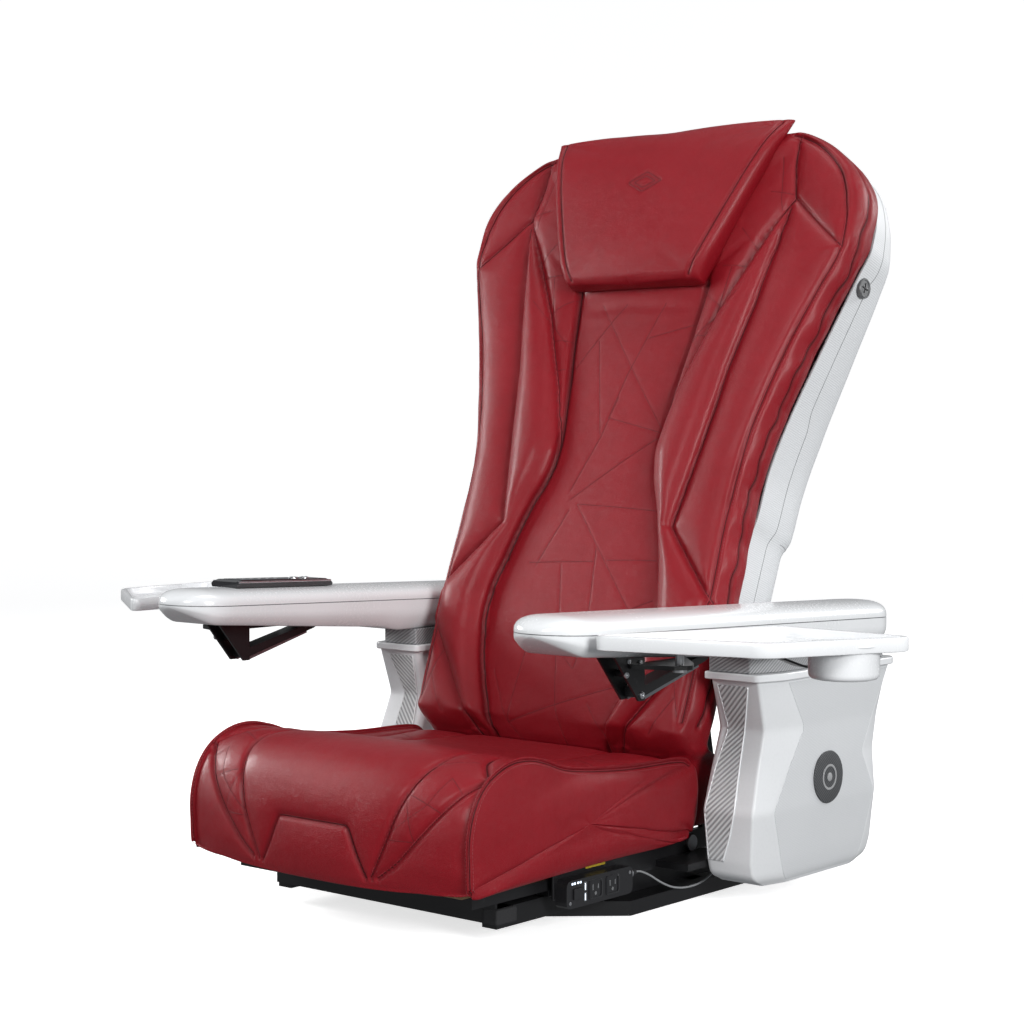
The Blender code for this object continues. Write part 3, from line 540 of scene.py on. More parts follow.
class Graph:
    """One node material with a Principled shader."""

    def __init__(self, name: str) -> None:
        """Make the material with its shader and output."""
        self.material = bpy.data.materials.new(name)
        self.material.use_nodes = True
        self.tree = self.material.node_tree
        self.shader = self.tree.nodes["Principled BSDF"]

    def node(self, kind: str, settings: dict[str, Any] | None = None,
             inputs: dict[Any, Any] | None = None) -> Wrapped:
        """Add any node.

        Args:
            kind: The node's type name.
            settings: Its properties; "stops" gives a ramp's (place, colour) pairs.
            inputs: Values or links for its sockets, by name or number.

        Returns:
            The node, wrapped.
        """
        node = self.tree.nodes.new(kind)
        for key, value in (settings or {}).items():
            if key == "stops":
                ramp = node.color_ramp.elements
                while len(ramp) < len(value):
                    ramp.new(1.0)
                for element, (place, colour) in zip(ramp, value):
                    element.position = place
                    element.color = (*colour, 1.0)
            else:
                setattr(node, key, value)
        for key, value in (inputs or {}).items():
            self.feed(node.inputs[key], value)
        return Wrapped(self, node)

    def feed(self, socket: Any, value: Any) -> None:
        """Link or set one socket."""
        if isinstance(value, Value):
            self.tree.links.new(value.socket, socket)
        elif isinstance(value, tuple) and len(value) == 3 and socket.type == "RGBA":
            socket.default_value = (*value, 1.0)
        else:
            socket.default_value = value

    def place(self, scale: Sequence[float] = (1.0, 1.0, 1.0), turn: Sequence[float] = (0.0, 0.0, 0.0)) -> Value:
        """Object coordinates, turned and then scaled."""
        where = self.node("ShaderNodeTexCoord").out("Object")
        return self.node("ShaderNodeMapping", {}, {"Vector": where, "Rotation": tuple(turn),
                                                   "Scale": tuple(scale)}).out()

    def noise(self, scale: float, detail: float = 3.0, rough: float = 0.55, at: Value | None = None) -> Value:
        """Cloudy noise from 0 to 1, scale cells to the metre."""
        return self.node("ShaderNodeTexNoise", {}, {"Vector": at or self.place(), "Scale": scale,
                                                    "Detail": detail, "Roughness": rough}).out("Fac")

    def cells(self, scale: float, feature: str = "F1", at: Value | None = None) -> Value:
        """Distance to the nearest cell centre or edge, scale cells to the metre."""
        return self.node("ShaderNodeTexVoronoi", {"feature": feature},
                         {"Vector": at or self.place(), "Scale": scale}).out("Distance")

    def axis(self, index: int, at: Value | None = None) -> Value:
        """One of the Object coordinates as a number."""
        return self.node("ShaderNodeSeparateXYZ", {}, {0: at or self.place()}).out(index)

    def attribute(self, name: str) -> Value:
        """A number kept on the mesh's points."""
        return self.node("ShaderNodeAttribute", {"attribute_name": name}).out("Fac")

    def mix(self, share: Any, first: Any, second: Any) -> Value:
        """A colour between two, by share."""
        node = self.node("ShaderNodeMix", {"data_type": "RGBA"}, {0: share, 6: first, 7: second})
        return node.out(2)

    def set(self, **sockets: Any) -> None:
        """Set or link the shader's sockets, with _ for a space in a name."""
        for key, value in sockets.items():
            self.feed(self.shader.inputs[key.replace("_", " ")], value)

    def bump(self, height: Value, distance: float, strength: float = 1.0) -> None:
        """Feed the shader's normal from a height.

        Args:
            height: From 0 to 1.
            distance: The depth in metres that 1 stands for.
            strength: How much of it shows.
        """
        node = self.node("ShaderNodeBump", {}, {"Strength": strength, "Distance": distance, "Height": height})
        self.feed(self.shader.inputs["Normal"], node.out())


@dataclass(frozen=True)
class Leather:
    """Smooth coated leather with a pebble grain, with painted shade in its seams."""

    name: str = "red_leather"
    colour: Colour = (0.212, 0.0048, 0.0100)
    # deep: the colour of the painted shade in the seams
    deep: Colour = (0.070, 0.002, 0.005)
    bright: Colour = (0.245, 0.0075, 0.0140)
    rough: float = 0.31
    grain: float = 620.0

    def make(self) -> bpy.types.Material:
        """The material, with the crease attribute as the share of the deep colour, which paints shade along the seams.
        """
        g = Graph(self.name)
        clouds = g.noise(7.0, 4.0, 0.6)
        mottle = g.noise(45.0, 3.0, 0.6)
        tone = (clouds * 0.6 + mottle * 0.4).step(0.30, 0.72)
        soft = g.mix(tone, self.colour, self.bright)
        # painted shade: the crease attribute darkens the leather along its seams
        crease = g.attribute("crease")
        g.set(Base_Color=g.mix(crease, soft, self.deep))
        warp = g.noise(180.0, 2.0)
        pebble = g.cells(self.grain, "DISTANCE_TO_EDGE").step(0.0, 0.22)
        fine = g.noise(1500.0, 2.0)
        g.set(Roughness=(1.0 - mottle) * 0.10 + (1.0 - pebble) * 0.10 + crease * 0.12 + (self.rough - 0.06))
        wrinkle = g.noise(60.0, 5.0, 0.65).step(0.25, 0.8)
        g.bump(pebble * 0.55 + fine * 0.25 + warp * 0.4 + wrinkle * 1.2, 0.00035, 0.75)
        g.set(Specular_IOR_Level=0.22, Coat_Weight=0.06, Coat_Roughness=0.20)
        return g.material


@dataclass(frozen=True)
class Plastic:
    """Moulded plastic with a fine skin and faint handling marks."""

    name: str
    colour: Colour
    rough: float
    grain: float = 1400.0
    depth: float = 0.00003
    coat: float = 0.0
    spread: float = 0.06

    def make(self) -> bpy.types.Material:
        """The material."""
        g = Graph(self.name)
        clouds = g.noise(5.0, 3.0).step(0.3, 0.7)
        speck = g.noise(220.0, 2.0).step(0.45, 0.7)
        darker = tuple(c * (1.0 - self.spread) for c in self.colour)
        g.set(Base_Color=g.mix(clouds * 0.7 + speck * 0.3, self.colour, darker))
        g.set(Roughness=clouds * 0.06 + speck * 0.05 + (self.rough - 0.04))
        g.bump(g.noise(self.grain, 2.0) * 0.6 + g.cells(self.grain * 0.6) * 0.4, self.depth, 0.7)
        g.set(Coat_Weight=self.coat, Coat_Roughness=0.08)
        return g.material


@dataclass(frozen=True)
class Lined:
    """Plastic with a fine slanted line pattern across it."""

    name: str
    colour: Colour
    groove: Colour
    pitch: float
    slant: tuple[float, float, float]
    rough: float = 0.45
    sharp: float = 0.25
    depth: float = 0.0003

    def make(self) -> bpy.types.Material:
        """The material: a sine of the distance along the slant direction, cut to a line."""
        g = Graph(self.name)
        length = math.sqrt(sum(c * c for c in self.slant))
        factor = [c / length * 2.0 * math.pi / self.pitch for c in self.slant]
        phase = sum((g.axis(k) * factor[k] for k in range(1, 3)), g.axis(0) * factor[0])
        wave = phase.math("SINE") * 0.5 + 0.5
        line = wave.step(0.5 - self.sharp, 0.5 + self.sharp)
        clouds = g.noise(9.0, 3.0).step(0.3, 0.7)
        tone = g.mix(line, self.groove, self.colour)
        dim = tuple(c * 0.92 for c in self.colour)
        g.set(Base_Color=g.mix(clouds * 0.35, tone, dim))
        g.set(Roughness=clouds * 0.06 + (1.0 - line) * 0.12 + self.rough)
        g.bump(line + g.noise(1300.0, 2.0) * 0.12, self.depth, 0.8)
        return g.material


@dataclass(frozen=True)
class Metal:
    """Steel: painted, or bright with fine turning marks."""

    name: str
    colour: Colour
    rough: float
    metallic: float = 1.0
    worn: Colour = (0.16, 0.16, 0.17)
    wear: float = 0.0
    brush: float = 900.0

    def make(self) -> bpy.types.Material:
        """The material: stretched noise for brushing, cloudy patches and rubbed spots."""
        g = Graph(self.name)
        clouds = g.noise(11.0, 4.0, 0.6)
        scratch = g.noise(1.0, 4.0, 0.7, g.place((self.brush, 40.0, self.brush)))
        rub = g.noise(38.0, 6.0, 0.7).step(0.62, 0.78) * self.wear
        g.set(Base_Color=g.mix(rub, self.colour, self.worn), Metallic=self.metallic)
        g.set(Roughness=clouds * 0.14 + scratch * 0.12 + (self.rough - 0.12))
        g.bump(scratch * 0.3 + g.noise(420.0, 3.0) * 0.7, 0.00006, 0.6)
        return g.material


@dataclass(frozen=True)
class Wood:
    """Plywood: long grain on the faces."""

    name: str = "plywood"
    colour: Colour = (0.42, 0.27, 0.14)
    dark: Colour = (0.25, 0.14, 0.06)

    def make(self) -> bpy.types.Material:
        """The material: noise stretched along y, with rings from a sine of it."""
        g = Graph(self.name)
        flow = g.noise(1.0, 5.0, 0.6, g.place((28.0, 2.5, 60.0)))
        rings = (flow * 46.0).math("SINE") * 0.5 + 0.5
        g.set(Base_Color=g.mix(rings * 0.6 + g.noise(300.0) * 0.3, self.colour, self.dark))
        g.set(Roughness=rings * 0.1 + 0.55)
        g.bump(rings, 0.0002, 0.5)
        return g.material


@dataclass(frozen=True)
class Glow:
    """A small lit mark, such as a lamp or a display."""

    name: str
    colour: Colour
    power: float

    def make(self) -> bpy.types.Material:
        """The material."""
        g = Graph(self.name)
        g.set(Base_Color=self.colour, Roughness=g.noise(300.0) * 0.1 + 0.2, Emission_Color=self.colour)
        g.set(Emission_Strength=self.power)
        return g.material


@dataclass(frozen=True)
class Backdrop:
    """The pale floor and wall, lit a little from themselves so that they stay even."""

    name: str = "floor_pale"
    colour: Colour = (0.90, 0.90, 0.90)
    power: float = 0.72

    def make(self) -> bpy.types.Material:
        """The material."""
        g = Graph(self.name)
        clouds = g.noise(0.6, 2.0)
        g.set(Base_Color=self.colour, Roughness=clouds * 0.05 + 0.8, Emission_Color=(1.0, 1.0, 1.0))
        g.set(Emission_Strength=self.power, Specular_IOR_Level=0.1)
        return g.material


class Finish(Enum):
    """Every finish of the chair."""

    LEATHER = Leather()
    THREAD = Leather("thread", (0.30, 0.045, 0.055), (0.10, 0.01, 0.012), (0.36, 0.07, 0.08), 0.5, 1800.0)
    SHADOW = Leather("seam_shadow", (0.055, 0.002, 0.004), (0.02, 0.0, 0.001), (0.075, 0.003, 0.006), 0.55, 1200.0)
    # darker than the leather: painted shade in the pressed lines
    EMBOSS = Leather("emboss", (0.120, 0.006, 0.010), (0.05, 0.002, 0.003), (0.150, 0.009, 0.013), 0.50, 1200.0)
    # lighter than the leather: real piping, and a painted highlight along the seams
    PIPING = Leather("piping", (0.275, 0.018, 0.027), (0.08, 0.003, 0.006), (0.340, 0.032, 0.042), 0.33, 1500.0)
    WHITE = Plastic("white_gloss", (0.76, 0.775, 0.79), 0.24, coat=0.35)
    SATIN = Plastic("white_satin", (0.72, 0.735, 0.75), 0.42, 900.0, 0.00009)
    PANEL = Lined("dotted_white", (0.66, 0.675, 0.69), (0.50, 0.515, 0.53), 0.0030, (0.0, 1.0, -1.0), 0.50, 0.45,
                  0.00022)
    SHELL = Lined("ruled_white", (0.68, 0.695, 0.71), (0.58, 0.595, 0.61), 0.0034, (0.0, 0.346, 0.938), 0.46, 0.45,
                  0.00020)
    LINE = Plastic("parting_line", (0.16, 0.165, 0.17), 0.6)
    # the dark groove colour lies in the real rib troughs of the insert: painted shade
    RIB = Lined("ribbed_grey", (0.62, 0.63, 0.64), (0.24, 0.245, 0.25), 0.0062, (-1.0, 0.0, 1.0), 0.42, 0.40, 0.0001)
    RIB_FAR = Lined("ribbed_grey_far", (0.62, 0.63, 0.64), (0.24, 0.245, 0.25), 0.0062, (1.0, 0.0, 1.0), 0.42,
                    0.40, 0.0001)
    NECK = Lined("striped_grey", (0.36, 0.365, 0.375), (0.17, 0.174, 0.18), 0.0040, (0.6, 0.8, -1.0), 0.36, 0.30)
    BADGE = Lined("badge_grey", (0.085, 0.088, 0.092), (0.040, 0.042, 0.045), 0.0034, (0.0, 1.0, 1.0), 0.42, 0.35)
    RING = Plastic("ring_grey", (0.34, 0.345, 0.35), 0.35)
    DARK = Plastic("dark_plastic", (0.018, 0.018, 0.020), 0.36, 700.0, 0.00008)
    GLOSS = Plastic("black_gloss", (0.010, 0.010, 0.012), 0.10, coat=0.8)
    CAP = Plastic("grey_cap", (0.095, 0.098, 0.102), 0.38)
    PAINT = Metal("black_paint", (0.0085, 0.0085, 0.0095), 0.36, 0.0, wear=0.25)
    BRIGHT = Metal("bright_steel", (0.62, 0.63, 0.65), 0.28, worn=(0.4, 0.4, 0.4), wear=0.3)
    GALVANISED = Metal("pressed_steel", (0.30, 0.31, 0.33), 0.38, worn=(0.2, 0.2, 0.2), wear=0.4)
    RUBBER = Plastic("rubber", (0.022, 0.022, 0.024), 0.80, 500.0, 0.0002)
    CABLE = Plastic("grey_cable", (0.30, 0.31, 0.32), 0.42, 900.0)
    PLYWOOD = Wood()
    LABEL = Plastic("yellow_label", (0.62, 0.44, 0.03), 0.45)
    LAMP = Glow("lamp_white", (0.75, 0.85, 1.0), 1.6)
    SCREEN = Plastic("screen_glass", (0.03, 0.034, 0.042), 0.06, coat=1.0)
    FLOOR = Backdrop()


MATERIALS: dict[Finish, bpy.types.Material] = {}


def finish_of(kind: Finish) -> bpy.types.Material:
    """The material of a finish, made the first time it is asked for."""
    if kind not in MATERIALS:
        MATERIALS[kind] = kind.value.make()
    return MATERIALS[kind]


def dress(obj: bpy.types.Object, kind: Finish, body: str, slot: str, replaces: Sequence[str] = ()) -> bpy.types.Object:
    """Give a new piece its finish and its body.

    Args:
        obj: The piece.
        kind: Its finish.
        body: The body that it rides on.
        slot: Not used.
        replaces: The solids that it stands for.

    Returns:
        The piece.
    """
    obj.data.materials.clear()
    obj.data.materials.append(finish_of(kind))
    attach(obj, body)
    if replaces:
        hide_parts(*replaces)
    log.info("%s: %d faces on %s", obj.name, len(obj.data.polygons), body)
    return obj


# ---------------------------------------------------------------- upholstery
def even(vectors: Array) -> Array:
    """Normals averaged with their neighbours along a line."""
    for _ in range(3):
        vectors = unit(vectors + np.concatenate([vectors[1:], vectors[-1:]])
                       + np.concatenate([vectors[:1], vectors[:-1]]))
    return vectors


def faces_tree(obj: bpy.types.Object) -> BVHTree:
    """A search tree of a piece's faces."""
    return BVHTree.FromPolygons([tuple(p) for p in coordinates(obj)], [tuple(p.vertices) for p in obj.data.polygons])


@dataclass
class Cushion:
    """A stuffed leather piece: inflated between its seams, then sewn."""

    name: str
    body: str
    pressure: float = 4.0
    cap: float = 0.008
    frames: int = 20
    fill: float = 0.8
    aside: float = 0.0046

    # cords: width, half thickness and lift
    SHADOW_CORD = (0.0020, 0.0006, 0.0)
    WIDE_CORDS = {"deep": (0.0034, 0.0010, 0.0001), "gusset": (0.0034, 0.0008, 0.0)}
    PRESSED_CORD = (0.0013, 0.0003, 0.0)
    WELT_CORD = (0.0015, 0.0007, 0.0002)
    WELT_ASIDE = 0.0016
    # stitches: pitch, length and radius
    STITCH = (0.0052, 0.0036, 0.0005)

    def inflate(self, obj: bpy.types.Object, seam_points: list[Array], soft: float) -> None:
        """Blow the form up as cloth, held along its seams.

        Args:
            obj: The closed form.
            seam_points: Lines near its surface where it is sewn down.
            soft: Distance from a seam at which the cloth is free.
        """
        rest = coordinates(obj)
        near = distance_to(rest, seam_points, soft)
        held = 1.0 - ease(near / soft)
        group = obj.vertex_groups.new(name="held")
        levels = np.round(held * 8).astype(int)
        for level in range(1, 9):
            group.add(np.nonzero(levels == level)[0].tolist(), level / 8.0, "REPLACE")
        mod = obj.modifiers.new("cloth", "CLOTH")
        cloth = mod.settings
        cloth.quality = 4
        cloth.mass = 0.25
        cloth.tension_stiffness = 22.0
        cloth.compression_stiffness = 10.0
        cloth.bending_stiffness = 0.8
        cloth.use_pressure = True
        cloth.uniform_pressure_force = self.pressure
        cloth.vertex_group_mass = "held"
        cloth.pin_stiffness = 1.0
        cloth.effector_weights.gravity = 0.0
        mod.collision_settings.use_self_collision = False
        mod.point_cache.frame_start = 1
        mod.point_cache.frame_end = self.frames
        for number in range(1, self.frames + 1):
            bpy.context.scene.frame_set(number)
        settle(obj)
        bpy.context.scene.frame_set(1)
        moved = coordinates(obj) - rest
        size = np.linalg.norm(moved, axis=1, keepdims=True)
        limited = moved * (self.cap * np.tanh(size / self.cap) / np.maximum(size, 1e-9))
        move_points(obj, rest + limited * (1.0 - held[:, None]))

    def refine(self, obj: bpy.types.Object) -> None:
        """One smooth subdivision, made part of the mesh."""
        mod = obj.modifiers.new("fine", "SUBSURF")
        mod.levels = mod.render_levels = 1
        settle(obj)

    @staticmethod
    def drape(obj: bpy.types.Object, lines: Sequence[Laid], step: float) -> list[Laid]:
        """Lay lines on the finished surface.

        Args:
            obj: The piece.
            lines: Lines just outside the surface, each with the direction or directions in which it drops.
            step: Distance between the points of a laid line.

        Returns:
            For each line, its points on the surface and the normals there.
        """
        tree = faces_tree(obj)
        laid = []
        for line, aim in lines:
            both = np.concatenate([line, np.broadcast_to(aim, line.shape)], axis=1)
            run = np.concatenate([[0.0], np.cumsum(np.linalg.norm(np.diff(line, axis=0), axis=1))])
            at = np.linspace(0.0, run[-1], max(int(run[-1] / step), 2) + 1)
            spread = np.stack([np.interp(at, run, both[:, k]) for k in range(6)], axis=1)
            hits = [tree.ray_cast(Vector(row[:3]), Vector(row[3:])) for row in spread]
            good = [(tuple(hit[0]), tuple(hit[1])) for hit in hits if hit[0] is not None]
            if len(good) > 1:
                laid.append((np.array([p for p, _ in good]), even(np.array([n for _, n in good]))))
        return laid

    def sink(self, obj: bpy.types.Object, groups: list[tuple[list[Laid], float, float, float]]) -> None:
        """Press the seams into the surface and paint shade along them into the crease attribute.

        A point at distance d from a line moves in by the depth times exp(-(d / width) squared).

        Args:
            obj: The piece.
            groups: Laid lines, with the groove's width and depth and the share of the deep colour, which is painted
                shade.
        """
        points, normal = coordinates(obj), normals(obj)
        shade = np.zeros(len(points))
        push = np.zeros(len(points))
        for laid, width, depth, painted_shade_share in groups:
            profile = np.exp(-(distance_to(points, [line for line, _ in laid], width * 3.0) / width) ** 2)
            push = np.maximum(push, depth * profile)
            # painted shade: the deep colour's share falls off with the square of the groove's profile
            shade = np.maximum(shade, 0.7 * painted_shade_share * profile ** 2)
        move_points(obj, points - normal * push[:, None])
        layer = obj.data.attributes.new("crease", "FLOAT", "POINT")
        layer.data.foreach_set("value", shade.astype(np.float32))
        obj.data.shade_smooth()

    def sew(self, prefix: str, laid: dict[str, list[Laid]]) -> None:
        """Put shadows, welts in a lighter colour that paints a highlight, pressed lines in a darker colour that paints
        shade, and threads along the laid lines.

        Args:
            prefix: How the pieces' names start.
            laid: Lines on the finished surface, by kind.
        """
        shadow, welt, pressed, thread = Surface(), Surface(), Surface(), Surface()
        for key, rows in laid.items():
            for line, normal in rows:
                if key == "quilt":
                    # pressed lines are darker cords: painted shade in their grooves
                    ribbon(pressed, line, normal, *self.PRESSED_CORD)
                    continue
                ribbon(shadow, line, normal, *self.WIDE_CORDS.get(key, self.SHADOW_CORD))
                # the welt beside each seam is lighter than the leather: a painted highlight
                if key in ("seam", "rim"):
                    across = unit(np.cross(unit(np.gradient(line, axis=0)), normal))
                    ribbon(welt, line + across * self.WELT_ASIDE, normal, *self.WELT_CORD)
                if key == "rim":
                    for aside in (-self.aside, self.aside):
                        stitches(thread, line, normal, *self.STITCH, aside)
        for surface, name, kind in ((shadow, "seam_shadow", Finish.SHADOW), (welt, "welt", Finish.PIPING),
                                    (pressed, "pressed_lines", Finish.EMBOSS),
                                    (thread, "stitching", Finish.THREAD)):
            dress(surface.build(f"{prefix}_{name}", 180.0), kind, self.body, "leather")


def mirrored(lines: list[list[tuple[float, float]]]) -> list[list[tuple[float, float]]]:
    """Flat lines and their copies on the other side."""
    return lines + [[(-x, s) for x, s in line] for line in lines]


@dataclass
class BackCushion(Cushion):
    """The long back cushion, from its foot behind the seat to the round shoulders."""

    name: str = "back_upholstery"
    body: str = "backrest"
    cap: float = 0.0055
    thickness: float = 0.0695
    foot: float = -0.135
    top: float = 1.083
    edge: float = 0.020
    sink_middle: float = 0.012

    # seams, as distances across and along the lean
    CENTRE = [(0.134, 0.815), (0.124, 0.720), (0.108, 0.600), (0.103, 0.520), (0.113, 0.470), (0.135, 0.415),
              (0.160, 0.330), (0.175, 0.262), (0.170, 0.200), (0.150, 0.130), (0.125, 0.070), (0.110, 0.010)]
    STRIP = [(0.277, 0.956), (0.228, 0.865), (0.178, 0.766), (0.130, 0.640), (0.112, 0.575), (0.104, 0.528)]
    BOLSTER = [(0.274, 0.938), (0.240, 0.760), (0.218, 0.660), (0.203, 0.558), (0.175, 0.393), (0.225, 0.335),
               (0.280, 0.274)]
    SHOULDER = [(0.277, 0.956), (0.330, 0.908), (0.381, 0.866)]
    CROWN = [(0.277, 0.956), (0.264, 1.015), (0.262, 1.072)]
    LOWER = [(0.276, 0.215), (0.240, 0.165), (0.200, 0.110), (0.160, 0.055), (0.135, 0.015)]
    RIM = [(0.247, 1.072), (0.300, 1.048), (0.352, 0.998), (0.376, 0.935), (0.380, 0.868), (0.354, 0.795),
           (0.322, 0.710), (0.292, 0.600), (0.277, 0.514), (0.272, 0.400), (0.274, 0.287), (0.272, 0.190),
           (0.270, 0.083)]
    QUILT = [[(-0.075, 0.786), (0.108, 0.556)], [(-0.022, 0.786), (-0.108, 0.672)],
             [(0.058, 0.785), (0.012, 0.658), (-0.008, 0.581)], [(0.122, 0.745), (0.039, 0.722)],
             [(-0.066, 0.721), (-0.018, 0.552)], [(-0.008, 0.581), (0.106, 0.556)],
             [(0.004, 0.618), (-0.015, 0.547), (-0.054, 0.452)], [(0.106, 0.553), (-0.050, 0.436)],
             [(-0.031, 0.429), (0.128, 0.423)], [(-0.031, 0.428), (0.120, 0.255)], [(-0.046, 0.419), (-0.090, 0.320)],
             [(-0.105, 0.325), (0.029, 0.332)], [(0.056, 0.335), (0.152, 0.340)],
             [(-0.036, 0.325), (-0.010, 0.215), (-0.003, 0.168), (0.016, 0.093), (0.040, 0.030)],
             [(0.029, 0.354), (0.048, 0.210), (0.037, 0.151), (0.014, 0.169)],
             [(0.120, 0.255), (0.160, 0.274)], [(-0.068, 0.185), (-0.080, 0.056)], [(-0.080, 0.056), (0.145, 0.137)],
             [(0.079, 0.098), (0.132, 0.035)], [(-0.130, 0.140), (-0.080, 0.056), (-0.050, 0.030)]]
    SIDE_QUILT = [[(0.192, 0.905), (0.232, 0.862)], [(0.165, 0.842), (0.214, 0.838)], [(0.126, 0.806), (0.180, 0.768)],
                  [(0.124, 0.722), (0.160, 0.720)], [(0.240, 1.030), (0.258, 0.934)], [(0.232, 0.968), (0.272, 0.962)],
                  [(0.212, 0.790), (0.128, 0.711)], [(0.116, 0.672), (0.140, 0.666)], [(0.140, 0.668), (0.108, 0.559)],
                  [(0.186, 0.838), (0.170, 0.745)], [(0.252, 0.120), (0.215, 0.060)], [(0.240, 0.165), (0.262, 0.090)]]

    def half(self, s: Array) -> Array:
        """Half width at a height along the lean."""
        return smooth_table(s, (-0.135, 0.0, 0.066, 0.180, 0.287, 0.400, 0.514, 0.600, 0.720, 0.840, 0.890, 0.930,
                                1.001, 1.050, 1.083),
                            (0.262, 0.276, 0.281, 0.285, 0.286, 0.284, 0.288, 0.306, 0.341, 0.382, 0.397, 0.397,
                             0.374, 0.322, 0.262))

    def path(self, s: Array) -> tuple[Array, Array, Array]:
        """The cushion's middle line.

        Args:
            s: Heights along the lean, negative where the foot turns down behind the seat.

        Returns:
            The front points, the direction to the rear there, and the thickness.
        """
        straight = back(0.0, np.maximum(s, 0.066), 0.0)
        y = np.interp(s, (-0.135, -0.020, 0.020, 0.066), (0.0052, 0.0052, -0.0090, -0.0253))
        z = np.interp(s, (-0.135, -0.020, 0.066), (0.1045, 0.2060, 0.2620))
        bent = np.stack([np.zeros_like(s), y, z], axis=-1)
        front = np.where((s < 0.066)[:, None], bent, straight)
        lean = ease((s + 0.03) / 0.10)[:, None]
        rear = unit(lean * REAR + (1.0 - lean) * np.array([0.0, 1.0, 0.0]))
        return front, rear, np.full_like(s, self.thickness)

    def relief(self, x: Array, s: Array) -> Array:
        """How far each point of the front stands out.

        Panels rise from their seams as a quarter circle of the distance to the nearest seam, to a
        height of their own; the middle panel starts lower than the side bolsters.

        Args:
            x: Distances across.
            s: Distances along the lean.

        Returns:
            Heights in front of the cushion's plane.
        """
        flat = np.stack([np.abs(x).ravel(), s.ravel()], axis=1)
        seams = [resample(line, 0.02) for line in (self.CENTRE, self.STRIP, self.BOLSTER, self.SHOULDER, self.CROWN,
                                                   self.LOWER, self.RIM)]
        gap = distance_to(flat, seams, 0.2)
        middle = inside(flat, [(0.0, 0.84), *self.CENTRE, (0.0, 0.01)])
        below = inside(flat, [*self.LOWER, (0.30, 0.0), (0.30, 0.215)])
        strip = inside(flat, [*self.CENTRE[:4], *self.STRIP[::-1], *self.CROWN[1:], (0.262, 1.2), (0.0, 1.2),
                               (0.0, 0.815)])
        outer = inside(flat, [*self.BOLSTER, (0.45, 0.274), (0.45, 0.87), *self.SHOULDER[::-1]])
        shoulder = inside(flat, [*self.SHOULDER, (0.5, 0.866), (0.5, 1.2), (0.26, 1.2), *self.CROWN[::-1]])
        rise = np.full(len(flat), 0.026)
        reach = np.full(len(flat), 0.045)
        for mask, height, width in ((middle, 0.007, 0.060), (strip, 0.010, 0.035), (outer, 0.015, 0.060),
                                    (shoulder, 0.010, 0.040), (below, 0.010, 0.040)):
            rise[mask], reach[mask] = height, width
        f = np.clip(gap / reach, 0.0, 1.0)
        puff = rise * np.sqrt(1.0 - (1.0 - f) ** 2)
        level = smooth_table(flat[:, 1], (-0.1, 0.0, 0.06, 0.5, 0.8, 1.0), (0.0, 0.0, 1.0, 1.0, 1.0, 0.6))
        wide = np.interp(flat[:, 1], [p[1] for p in self.CENTRE[::-1]], [p[0] for p in self.CENTRE[::-1]])
        dip = self.sink_middle * (1.0 - ease((flat[:, 0] - wide) / 0.055 + 0.25)) * level
        fade = ease((flat[:, 1] + 0.01) / 0.07)
        return ((puff - dip) * fade).reshape(x.shape)

    def form(self) -> bpy.types.Object:
        """The closed form before it is inflated.

        Each section is a flat front with quarter-round corners, straight sides and a flat rear; the
        sections follow the middle line, and the last few shrink to a rounded top edge.
        """
        s = np.concatenate([np.linspace(self.foot, self.top - self.edge, 196),
                            self.top - self.edge + self.edge * np.sin(np.linspace(0.12, 1.0, 7) * math.pi / 2)])
        over = np.clip((s - (self.top - self.edge)) / self.edge, 0.0, 1.0)
        slim = self.edge * (1.0 - np.sqrt(np.maximum(1.0 - over ** 2, 0.0)))
        front, rear, _ = self.path(s)
        half = self.half(s)
        angle = np.linspace(0.0, math.pi / 2, 7)[1:]
        flat_x = np.linspace(-1.0, 1.0, 121)
        reach = half - self.edge
        side_t = np.linspace(self.edge, self.thickness - 0.004, 9)[1:]
        rear_x = np.linspace(1.0, -1.0, 41)[1:-1]
        zero = np.zeros((len(s), 1))
        cols_x = [reach[:, None] * flat_x, reach[:, None] + self.edge * np.sin(angle), half[:, None] + 0.0 * side_t,
                  (half - 0.004)[:, None] * rear_x, -half[:, None] + 0.0 * side_t,
                  -(reach[:, None] + self.edge * np.sin(angle[::-1]))]
        cols_t = [zero + 0.0 * flat_x, zero + self.edge * (1.0 - np.cos(angle)), zero + side_t,
                  zero + self.thickness + 0.0 * rear_x, zero + side_t[::-1],
                  zero + self.edge * (1.0 - np.cos(angle[::-1]))]
        x, t = np.concatenate(cols_x, axis=1), np.concatenate(cols_t, axis=1)
        wave = 0.0022 * np.sin(s[:, None] * 61.0 + 1.3 * np.sin(s[:, None] * 17.0)) * (t > 0.012) * (t < 0.06)
        x = x + np.sign(x) * wave * (np.abs(x) > half[:, None] - 0.01)
        tall = self.relief(x, np.broadcast_to(s[:, None], x.shape))
        facing = np.clip(1.0 - t / self.edge, 0.0, 1.0)
        t = t - tall * facing + slim[:, None] * np.clip(1.0 - 2.0 * t / self.thickness, -1.0, 1.0)
        points = front[:, None] + x[..., None] * ACROSS + t[..., None] * rear[:, None]
        return Surface().grid(points, loop=True, caps=True).build(self.name, 180.0)

    def lay(self, flat: Any) -> tuple[Array, Array]:
        """A flat line lifted in front of the cushion, and the direction in which it drops."""
        flat = np.asarray(flat, float)
        return back(flat[:, 0], flat[:, 1], -0.09), REAR

